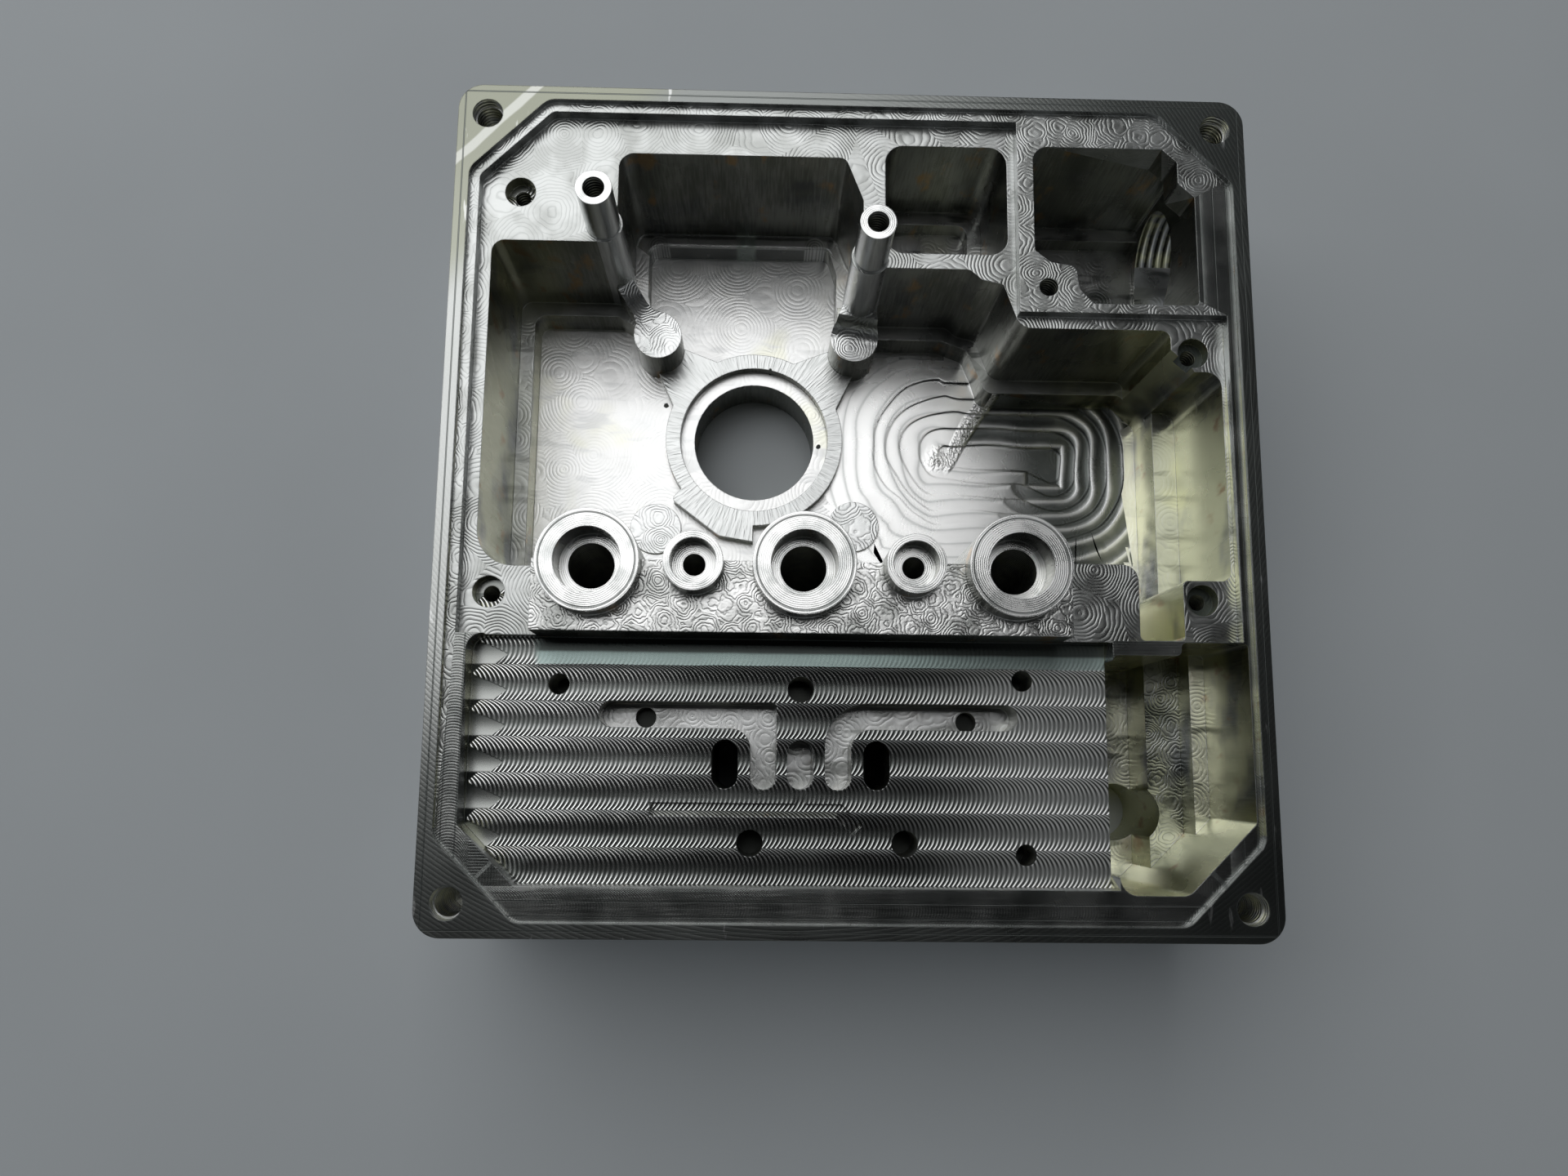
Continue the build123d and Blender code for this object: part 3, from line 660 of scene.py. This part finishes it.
@dataclass(frozen=True)
class Glossy:
    """A pocket floor finished by a flat end mill: broad soft sheen and faint round marks."""

    name: str
    light: Colour = METAL.white
    shade: Colour = METAL.bright
    cell: float = 9.0
    roughness: float = 0.24

    def material(self) -> bpy.types.Material:
        """Return the floor's material."""
        g = Graph(self.name)
        away, tone = g.cells(self.cell)
        patch = g.noise(8.0, 4.0)
        marks = g.ridges(g.times(g.add(away, g.times(patch, 0.8)), 1.6))
        share = g.add(g.times(g.step(patch, 0.25, 0.55), 0.8), g.times(tone, 0.2))
        colour = g.tint(self.shade, self.light, share)
        colour = g.tint(colour, METAL.oily, g.times(0.3, g.step(g.noise(13.0, 2.0), 0.58, 0.75)))
        smear = g.step(g.noise(2.5, 2.0, (0.25, 1.0, 1.0)), 0.55, 0.66)
        colour = g.tint(colour, self.shade, g.times(smear, 0.8))
        colour = g.tint(colour, METAL.black, g.spots(SWARF))
        g.metal(colour, g.between(self.roughness - 0.06, self.roughness + 0.1, patch), 0.93)
        g.relief(g.add(g.times(marks, 0.011), g.times(patch, 0.12)), EDGE_R)
        return g.material


@dataclass(frozen=True)
class Stepped:
    """The shelf along the north bay, with bright marks where the cutter plunged."""

    name: str
    edge_y: float = 54.35
    bright_to: float = 55.9
    plunges: tuple[tuple[float, float], ...] = ((-33.6, 54.4), (-4.6, 54.6))
    plunge_r: float = 2.1
    tongue_x: float = -17.4
    tongue_w: float = 4.2

    def material(self) -> bpy.types.Material:
        """Return the shelf's material."""
        g = Graph(self.name)
        patch = g.noise(5.0, 3.0)
        wander = g.times(g.take(patch, 0.5), 0.8)
        front = g.take(1.0, g.step(g.add(g.y, wander), self.bright_to - 0.3, self.bright_to + 0.2))
        on_top = g.step(g.z, 12.2, 12.8)
        colour = g.tint(METAL.dull, METAL.white, g.times(front, on_top))
        tongue = g.band(g.add(g.x, wander), self.tongue_x, self.tongue_w)
        colour = g.tint(colour, METAL.mist, g.times(tongue, 0.9))
        for x, y in self.plunges:
            away = g.away_from(x, y)
            ring = g.ridges(g.times(away, 1.0 / 0.5))
            mark = g.take(1.0, g.step(away, self.plunge_r - 0.3, self.plunge_r))
            colour = g.tint(colour, g.tint(METAL.dull, METAL.white, ring), g.times(mark, 0.9))
        g.metal(colour, g.between(0.2, 0.32, patch))
        g.relief(g.times(patch, 0.05), 0.8)
        return g.material


@dataclass(frozen=True)
class Terraced:
    """The east bay's floor, left in wavy terraces that step out from its deepest part."""

    name: str
    pit: tuple[float, float, float, float]
    toe: tuple[float, float, float, float]
    tread: float = 2.8
    ridge: tuple[float, float] = (19.7, 14.6)
    ridge_run: tuple[float, float] = (0.543, 0.84)
    ridge_foot: tuple[float, float] = (18.4, 15.8)
    rounding: float = 0.6

    def material(self) -> bpy.types.Material:
        """Return the terraced floor's material."""
        g = Graph(self.name, AS_CUT)
        wobble = g.take(g.noise(9.0, 1.5), 0.5)
        away = g.maths("MINIMUM", g.box_away(*self.pit), g.box_away(*self.toe))
        away = g.maths("MAXIMUM", g.add(away, g.times(wobble, 0.3)), -0.6)
        share = g.maths("FRACT", g.add(g.times(away, 1.0 / self.tread), 8.0))
        dx = g.take(g.x, self.ridge[0])
        dy = g.take(g.y, self.ridge[1])
        side = g.take(g.times(dx, self.ridge_run[1]), g.times(dy, self.ridge_run[0]))
        ahead = g.add(g.times(dx, self.ridge_run[0]), g.times(dy, self.ridge_run[1]))
        on_ridge = g.times(g.band(g.add(side, g.times(wobble, 1.6)), 0.0, 3.6), g.step(ahead, -1.5, 0.5))
        blob = g.take(1.0, g.step(g.add(g.away_from(*self.ridge_foot), g.times(wobble, 2.4)), 0.8, 3.4))
        on_ridge = g.maths("MAXIMUM", on_ridge, blob)
        foot = g.curve(share, ((0.0, 0.0), (0.15, 0.24), (0.3, 0.32), (0.6, 0.36), (0.82, 0.6), (1.0, 1.0)))
        patch = g.noise(6.0, 3.0)
        grain = g.noise(0.5, 2.0)
        # Painted light and shade: each tread is coloured across its width, in the west pale with darker lines by the
        # risers, in the east dark with bright edges at the risers.
        west_tread_shading = g.curve(share, ((0.0, 0.35), (0.07, 0.75), (0.4, 1.0), (0.84, 0.85), (0.93, 0.3), (1.0, 0.35)))
        east_tread_shading = g.curve(share, ((0.0, 0.9), (0.12, 0.8), (0.3, 0.2), (0.75, 0.03), (0.92, 0.25), (1.0, 0.7)))
        smear = g.times(g.take(patch, 0.5), 0.7)
        west_colour = g.tint(METAL.plain, METAL.white, g.add(west_tread_shading, smear))
        east_colour = g.tint(METAL.dark, METAL.bright, g.add(east_tread_shading, g.take(smear, 0.1)))
        east = g.between(g.step(g.x, 24.0, 38.0), g.step(side, -0.6, 0.8), g.step(g.y, 18.4, 19.6))
        colour = g.tint(west_colour, east_colour, east)
        colour = g.tint(colour, METAL.white, g.times(on_ridge, g.step(grain, 0.3, 0.5)))
        marks, _ = g.cells(5.0)
        cusps = g.ridges(g.times(marks, 1.0 / 0.55))
        g.metal(colour, g.between(0.22, 0.34, patch), 0.9)
        height = g.add(g.times(foot, g.add(0.13, g.times(east, 0.1))), g.times(cusps, 0.006))
        worn = g.take(g.take(0.82, g.times(east, 0.5)), g.times(on_ridge, 0.2))
        lean = g.times(on_ridge, g.step(g.add(grain, g.times(patch, 0.5)), 0.45, 1.05))
        g.relief(g.add(height, g.times(g.times(grain, on_ridge), 0.6)), self.rounding, worn, lean)
        return g.material


@dataclass(frozen=True)
class Threaded:
    """The wall of a tapped hole, with the thread's turns along one axis."""

    name: str
    pitch: float
    crest: Colour = METAL.dull
    oil: float = 0.1
    along_x: bool = False

    def material(self) -> bpy.types.Material:
        """Return the thread's material."""
        g = Graph(self.name)
        turns = g.ridges(g.times(g.x if self.along_x else g.z, 1.0 / self.pitch))
        # Painted shade: the thread's roots are black, its crests take the crest colour.
        colour = g.tint(METAL.black, self.crest, turns)
        colour = g.tint(colour, METAL.oily, g.times(self.oil, g.step(g.noise(3.0), 0.4, 0.6)))
        g.metal(colour, 0.3)
        g.relief(g.times(turns, self.pitch * 0.4))
        return g.material


@dataclass
class MilledBody:
    """The housing itself, dressed face by face. Sizes are in millimetres."""

    half_x: float = 63.25
    half_y: float = 66.25
    rim_z: float = 45.0
    seat_z: float = 43.9
    ledge_z: float = 41.8
    tray_z: float = 39.4
    deck_z: float = 48.5
    boss_z: float = 52.5
    post_z: float = 54.0
    pad_z: float = 20.8
    neck_z: float = 24.0
    low_pad_z: float = 10.6
    ring_z: float = 12.5
    tray_n: float = -22.05
    tray_w: float = -57.9
    boss_y: float = -12.2
    boss_x: tuple[float, ...] = (-39.2, -23.8, -7.6, 8.6, 24.0)
    ring_axis: tuple[float, float] = (-15.4, 17.7)
    posts: tuple[tuple[float, float], ...] = ((-40.0, 44.4), (3.05, 39.85))
    bored: tuple[tuple[float, float, float], ...] = (
        (-44.55, -29.25, 1.6),
        (-31.7, -33.9, 1.6),
        (26.55, -27.95, 1.6),
        (26.7, -54.25, 1.6),
        (18.9, -34.15, 1.6),
        (-7.55, -29.65, 2.0),
        (-15.1, -52.85, 2.0),
        (8.3, -52.75, 2.0),
        (31.2, 34.4, 1.5),
        (-53.45, 49.65, 1.25),
        (-55.4, -15.5, 1.25),
        (54.6, 24.6, 1.25),
        (54.35, -15.35, 1.25),
        (-40.0, 44.4, 1.65),
        (3.05, 39.85, 1.65),
        (-23.8, -12.2, 1.65),
        (8.6, -12.2, 1.65),
        (-39.2, -12.2, 3.45),
        (-7.6, -12.2, 3.45),
        (24.0, -12.2, 3.45),
    )
    pit: tuple[float, float, float, float] = (29.75, 16.2, 12.05, 2.6)
    pit_toe: tuple[float, float, float, float] = (38.6, 14.9, 3.2, 3.9)
    row_start: float = -20.85
    row_pitch: float = 5.45
    row_depth: float = 0.15
    channel_drop: float = 1.2
    row_low: float = 0.6
    row_cuts: tuple[float, ...] = (0.0, 0.04, 0.16, 0.3, 0.45, 0.6, 0.74, 0.87, 0.96)
    tray_e: float = 39.5
    tray_s: float = -58.95
    bay: tuple[float, float, float, float] = (-4.0, 53.0, -5.0, 34.5)
    bay_cut: float = 1.4
    wave: float = 2.4
    wave_size: float = 8.0
    floor_z: float = 10.0
    shelf_z: float = 16.5
    step_y: float = 52.0
    step_top: float = 13.05
    bay_mid: float = -19.5
    bay_reach: float = 17.0
    cut_z: float = 20.0
    port_axis: tuple[float, float] = (47.3, 22.6)
    port_r: float = 10.0
    level: ClassVar[float] = 0.15

    def build(self) -> bpy.types.Object:
        """Copy the milled solid, merge its loose triangles and dress its faces.

        Returns:
            The dressed body.
        """
        source = bpy.data.objects["housing"]
        body = source.copy()
        body.data = source.data.copy()
        body.name = "milled_body"
        bpy.context.scene.collection.objects.link(body)
        bpy.ops.object.select_all(action="DESELECT")
        body.select_set(True)
        bpy.context.view_layer.objects.active = body
        body.data.materials.clear()
        bpy.ops.object.mode_set(mode="EDIT")
        bpy.ops.mesh.select_all(action="SELECT")
        bpy.ops.mesh.remove_doubles(threshold=0.001 * MM)
        bpy.ops.mesh.customdata_custom_splitnormals_clear()
        bpy.ops.object.mode_set(mode="OBJECT")
        self.cut_rows(body)
        self.wave_terraces(body)
        bpy.ops.object.shade_smooth_by_angle(angle=math.radians(28))
        self.dress(body)
        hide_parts("housing")
        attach(body, "root")
        return body

    def slice(self, body: bpy.types.Object, inside: Callable[[Vector], bool], cuts: list[tuple[int, float]]) -> None:
        """Cut the faces of one region by upright planes.

        Args:
            body: The merged body.
            inside: Tells from a face's centre in millimetres whether it is in the region.
            cuts: The axis that each plane crosses and where, in millimetres.
        """
        bpy.context.tool_settings.mesh_select_mode = (False, False, True)
        for polygon in body.data.polygons:
            polygon.select = inside(polygon.center / MM)
        bpy.ops.object.mode_set(mode="EDIT")
        bpy.ops.mesh.hide(unselected=True)
        for axis, at in cuts:
            bpy.ops.mesh.select_all(action="SELECT")
            normal = Vector((axis == 0, axis == 1, 0))
            bpy.ops.mesh.bisect(plane_co=normal * at * MM, plane_no=normal)
        bpy.ops.mesh.reveal(select=False)
        bpy.ops.object.mode_set(mode="OBJECT")

    def cut_rows(self, body: bpy.types.Object) -> None:
        """Hollow the tray's floor in the rows that the cutter left between its ridges.

        Args:
            body: The merged body.
        """
        rows = math.ceil((self.row_start - self.tray_s) / self.row_pitch)
        lines = [self.row_start - (row + cut) * self.row_pitch for row in range(rows) for cut in self.row_cuts]
        cuts = [(1, y) for y in lines if self.tray_s < y < self.tray_n]
        level = self.tray_z
        self.slice(body, lambda at: abs(at.z - level) < self.level and at.y < self.tray_n, cuts)
        for vertex in body.data.vertices:
            at = vertex.co / MM
            if abs(at.z - level) < 0.01 and at.y < self.tray_n + 0.01 and at.x < self.tray_e + 0.01:
                share = (self.row_start - at.y) / self.row_pitch % 1.0
                reach = self.row_low if share < self.row_low else 1.0 - self.row_low
                vertex.co.z -= (1.0 - ((share - self.row_low) / reach) ** 2) * self.row_depth * MM

    def wave_terraces(self, body: bpy.types.Object) -> None:
        """Let the terraces' edges wander, and keep each place as it was cut for the finish.

        Args:
            body: The merged body.
        """
        west, east, south, north = self.bay
        cuts = [(0, west + i * self.bay_cut) for i in range(1, math.ceil((east - west) / self.bay_cut))]
        cuts += [(1, south + i * self.bay_cut) for i in range(1, math.ceil((north - south) / self.bay_cut))]
        top = self.floor_z + self.level
        self.slice(body, lambda at: at.z < top and west < at.x < east and south < at.y < north, cuts)
        kept = body.data.attributes.new(AS_CUT, "FLOAT_VECTOR", "POINT")
        for vertex, place in zip(body.data.vertices, kept.data):
            place.vector = vertex.co
            at = vertex.co / MM
            if at.z < top and west < at.x < east:
                drift = noise.noise_vector(Vector((at.x, at.y, 0.0)) / self.wave_size) * self.wave
                free = self.freedom(at)
                vertex.co += Vector((drift.x, drift.y, 0.0)) * free * MM

    def freedom(self, at: Vector) -> float:
        """Tell how far a place of the east bay's floor may wander from how near the walls and the ring are.

        Args:
            at: The place in millimetres.

        Returns:
            A number from 0 to 1.
        """
        ring = math.hypot(at.x - self.ring_axis[0], at.y - self.ring_axis[1]) - 16.3
        low_pad = math.hypot(at.x - 2.8, at.y - 2.1) - 4.8
        high_pad = math.hypot(at.x - 2.15, at.y - 34.0) - 4.6
        wall = 33.6 - 7.9 * smooth(at.x, 16.0, 25.0) - at.y
        near = min(ring, low_pad, high_pad, wall, at.y + 4.4)
        return smooth(near, 0.0, 3.0) * (1.0 - 0.7 * smooth(at.x, 14.0, 26.0)) * smooth(52.0 - at.x, 0.0, 6.0)

    def dress(self, body: bpy.types.Object) -> None:
        """Give each face the finish of the cutter that made it.

        Args:
            body: The merged body.
        """
        finishes = self.finishes()
        counts = dict.fromkeys(Finish, 0)
        order = list(Finish)
        for finish in order:
            body.data.materials.append(finishes[finish])
        kinds = [self.kind(p.center / MM, p.normal) for p in body.data.polygons]
        bpy.context.tool_settings.mesh_select_mode = (False, False, True)
        for slot, finish in enumerate(order):
            for polygon, kind in zip(body.data.polygons, kinds):
                polygon.select = kind is finish
                counts[finish] += kind is finish
            body.active_material_index = slot
            bpy.ops.object.mode_set(mode="EDIT")
            bpy.ops.object.material_slot_assign()
            bpy.ops.object.mode_set(mode="OBJECT")
        log.info("faces by finish: %s", {f.value: n for f, n in counts.items()})

    def kind(self, at: Vector, normal: Vector) -> Finish:
        """Tell how a face was cut from its place and the way it faces.

        Args:
            at: The face's centre in millimetres.
            normal: The way it faces.

        Returns:
            The finish.
        """
        if normal.z < -0.9:
            return Finish.OUTER
        if normal.z > 0.9 and any(math.hypot(at.x - x, at.y - y) < r for x, y, r in self.bored):
            return Finish.DEEP
        if self.in_terraces(at):
            return Finish.TERRACE
        near = min(math.hypot(at.x - x, at.y - y) for x, y in self.posts)
        if normal.z > 0.1 and near < 17 and self.pad_z - 0.1 < at.z < self.neck_z + 0.1:
            return Finish.PAD
        if normal.z > 0.9:
            return self.level_kind(at)
        y, z = self.port_axis
        if at.x > 53 and math.hypot(at.y - y, at.z - z) < self.port_r + 0.1:
            return Finish.PORT
        if max(abs(at.x) - self.half_x, abs(at.y) - self.half_y) > -0.05:
            return Finish.OUTER
        if abs(at.x) > 55 and abs(at.y) > 58:
            away = math.hypot(abs(at.x) - 58.55, abs(at.y) - 61.35)
            return Finish.CORNER if away < 2.6 else Finish.OUTER
        if any(math.hypot(at.x - x, at.y - y) < r + 0.02 for x, y, r in self.bored):
            return Finish.THREAD
        if at.z > self.ledge_z - 0.5 and abs(at.y - self.boss_y) > 10:
            return Finish.POST if at.z > self.rim_z else Finish.SEAT
        if at.y > self.step_y and at.z < self.step_top and abs(at.x - self.bay_mid) < self.bay_reach:
            return Finish.STEP
        if near < 3.3:
            return Finish.POST
        return Finish.WALL

    def in_terraces(self, at: Vector) -> bool:
        """Tell whether a face lies among the terraces, with the low walls between them."""
        west, east, south, north = self.bay
        x, y = self.ring_axis
        low = at.z < self.floor_z + self.level and west + 2 < at.x < east and south - 2 < at.y < north
        clear = math.hypot(at.x - x, at.y - y) > 16.2 and math.hypot(at.x - 2.8, at.y - 2.1) > 4.7
        return low and clear and math.hypot(at.x - 2.15, at.y - 34.0) > 4.3

    def level_kind(self, at: Vector) -> Finish:
        """Tell how a level face was cut from its height and place.

        Args:
            at: The face's centre in millimetres.

        Returns:
            The finish.
        """
        exact = (
            (self.post_z, Finish.TURNED),
            (self.boss_z, Finish.TURNED),
            (self.boss_z + 0.5, Finish.TURNED),
            (self.deck_z, Finish.DECK),
            (self.rim_z, Finish.RIM),
            (self.seat_z, Finish.SEAT if at.y > self.tray_n + 2 and at.x < 57 else Finish.BAND),
            (self.ledge_z, Finish.LEDGE),
            (self.pad_z, Finish.PAD),
            (self.low_pad_z, Finish.PAD),
            (self.ring_z, Finish.RING),
        )
        for height, finish in exact:
            if abs(at.z - height) < self.level:
                return finish
        if self.tray_z - self.channel_drop < at.z < self.tray_z + self.level:
            return Finish.TRAY
        if at.z > self.rim_z:
            return Finish.TURNED
        if at.z > 26:
            return Finish.SLOT
        if at.y > self.step_y and at.z > self.floor_z:
            return Finish.STEP if at.x < 0 else Finish.CLOSED
        if at.y > 31 and at.x > 5 or at.y < -24:
            return Finish.CUT if abs(at.z - self.cut_z) < self.level else Finish.CLOSED
        return Finish.FLOOR if at.z < self.shelf_z - self.level else Finish.SHELF

    def finishes(self) -> dict[Finish, bpy.types.Material]:
        """Return the material of each finish."""
        axes = tuple((x, self.boss_y) for x in self.boss_x) + self.posts
        made: dict[Finish, Callable[[], bpy.types.Material]] = {
            Finish.OUTER: SideMilled("outer_wall", METAL.bright, METAL.plain, 0.32, 0.0, 0.2).material,
            # Painted shade: the pocket walls are given dull and dark tones.
            Finish.WALL: SideMilled("pocket_wall", METAL.dull, METAL.dark, 0.26, 0.85).material,
            Finish.RIM: RimMilled("rim_land", self.half_x, self.half_y).material,
            Finish.SEAT: CuspMilled("seat_land", METAL.plain, METAL.dull, 5.0).material,
            Finish.LEDGE: CuspMilled("ledge_land", METAL.plain, METAL.dull, 9.0).material,
            Finish.TRAY: TrayMilled("tray_floor", self.row_start, self.tray_n, self.tray_w).material,
            Finish.DECK: CuspMilled("deck_top", METAL.white, METAL.dull, 3.4, 0.45, painted_trough_shade=0.45).material,
            Finish.TURNED: Turned("boss_top", axes, 7.0).material,
            Finish.FLOOR: Glossy("pocket_floor", roughness=0.34).material,
            Finish.PAD: CuspMilled("pad_top", METAL.bright, METAL.plain, 6.0, 0.45).material,
            Finish.TERRACE: Terraced("terraced_floor", self.pit, self.pit_toe).material,
            Finish.BAND: BandMilled("side_land", self.half_x, self.half_y).material,
            Finish.RING: RingMilled("ring_top", self.ring_axis).material,
            Finish.POST: SideMilled("post_side", METAL.bright, METAL.plain, 0.24, 0.1).material,
            Finish.SLOT: Glossy("slot_floor", METAL.bright, METAL.dull, 3.0, 0.3).material,
            Finish.THREAD: Threaded("screw_thread", 0.8).material,
            # Painted shade: the hole bottoms are black all over.
            Finish.DEEP: Threaded("hole_bottom", 0.8, METAL.black, 0.0).material,
            Finish.STEP: Stepped("north_step").material,
            Finish.SHELF: Glossy("pocket_shelf", METAL.plain, METAL.dull, 6.0, 0.28).material,
            Finish.CLOSED: Glossy("closed_floor", METAL.bright, METAL.dark, 5.0, 0.26).material,
            Finish.CUT: CuspMilled("compartment_ledge", METAL.plain, METAL.dark, 4.5, painted_trough_shade=0.5).material,
            Finish.CORNER: Threaded("corner_thread", 0.8, METAL.plain, 0.4).material,
            Finish.PORT: Threaded("port_thread", 1.5, METAL.plain, 0.6, True).material,
        }
        return {finish: make() for finish, make in made.items()}


@dataclass
class Studio:
    """Pale table, one big soft lamp and a plain sky. Lengths are in metres."""

    floor_side: float = 3.0
    floor_colour: Colour = (0.45, 0.48, 0.50)
    key_at: tuple[float, float, float] = (-0.43, 0.66, 0.95)
    key_side: float = 1.2
    key_power: float = 9.0
    fill_at: tuple[float, float, float] = (0.9, -0.9, 0.8)
    fill_side: float = 0.8
    fill_power: float = 0.6
    sky_low: float = 0.3
    sky_high: float = 0.01
    sky_from: float = 0.5
    sky_to: float = 0.78

    def build(self) -> None:
        """Make the floor, the lamps and the sky."""
        self.floor()
        self.lamp("key_lamp", self.key_at, self.key_side, self.key_power, Vector((0, 0, -1)))
        aim = Vector((0, 0, 0.03)) - Vector(self.fill_at)
        self.lamp("fill_lamp", self.fill_at, self.fill_side, self.fill_power, aim)
        self.sky()

    def floor(self) -> None:
        """Lay the table top just under the housing."""
        bpy.ops.mesh.primitive_plane_add(size=self.floor_side, location=(0, 0, -0.0001))
        floor = bpy.context.object
        floor.name = "table_top"
        g = Graph("table_paper")
        shade = tuple(c * 0.9 for c in self.floor_colour)
        g.metal(g.tint(shade, self.floor_colour, g.noise(60.0, 3.0)), 0.7, 0.0)
        g.shader.inputs["Specular IOR Level"].default_value = 0.2
        floor.data.materials.append(g.material)

    def lamp(self, name: str, at: tuple[float, float, float], side: float, power: float, aim: Vector) -> None:
        """Hang a square soft lamp.

        Args:
            name: The lamp's name.
            at: Its place.
            side: Its width.
            power: Its power in watts.
            aim: The way it shines.
        """
        light = bpy.data.lights.new(name, "AREA")
        light.shape = "SQUARE"
        light.size = side
        light.energy = power
        lamp = bpy.data.objects.new(name, light)
        bpy.context.scene.collection.objects.link(lamp)
        lamp.location = at
        lamp.rotation_euler = aim.to_track_quat("-Z", "Y").to_euler()

    def sky(self) -> None:
        """Make a plain sky, bright round the table and dark overhead."""
        world = bpy.data.worlds.new("plain_sky")
        bpy.context.scene.world = world
        world.use_nodes = True
        nodes, links = world.node_tree.nodes, world.node_tree.links
        back = nodes["Background"]
        place = nodes.new("ShaderNodeTexCoord")
        split = nodes.new("ShaderNodeSeparateXYZ")
        rise = nodes.new("ShaderNodeMapRange")
        links.new(place.outputs["Generated"], split.inputs[0])
        links.new(split.outputs["Z"], rise.inputs["Value"])
        rise.inputs["From Min"].default_value = self.sky_from
        rise.inputs["From Max"].default_value = self.sky_to
        rise.inputs["To Min"].default_value = self.sky_low
        rise.inputs["To Max"].default_value = self.sky_high
        links.new(rise.outputs[0], back.inputs["Strength"])
        back.inputs["Color"].default_value = (0.93, 0.97, 1.0, 1.0)


@dataclass
class Viewpoint:
    """The camera above the open side. Its place is in millimetres and its turns in degrees."""

    at: tuple[float, float, float] = (-14.603, -42.924, 221.368)
    turn: tuple[float, float, float] = (9.034, -1.447, 0.597)
    lens: float = 27.225
    sensor: float = 36.0

    def build(self) -> bpy.types.Object:
        """Return the scene's camera."""
        data = bpy.data.cameras.new("view")
        data.lens = self.lens
        data.sensor_width = self.sensor
        data.clip_start = 0.01
        camera = bpy.data.objects.new("view", data)
        bpy.context.scene.collection.objects.link(camera)
        camera.location = Vector(self.at) * MM
        camera.rotation_euler = [math.radians(a) for a in self.turn]
        bpy.context.scene.camera = camera
        return camera


def main() -> None:
    """Load the frame, dress the housing and set the studio round it."""
    logging.basicConfig(level=logging.INFO, format="%(name)s: %(message)s")
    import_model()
    body = MilledBody().build()
    log.info("%s has %d faces", body.name, len(body.data.polygons))
    Studio().build()
    Viewpoint().build()
    scene = bpy.context.scene
    scene.view_settings.view_transform = "Standard"


if __name__ == "__main__":
    main()
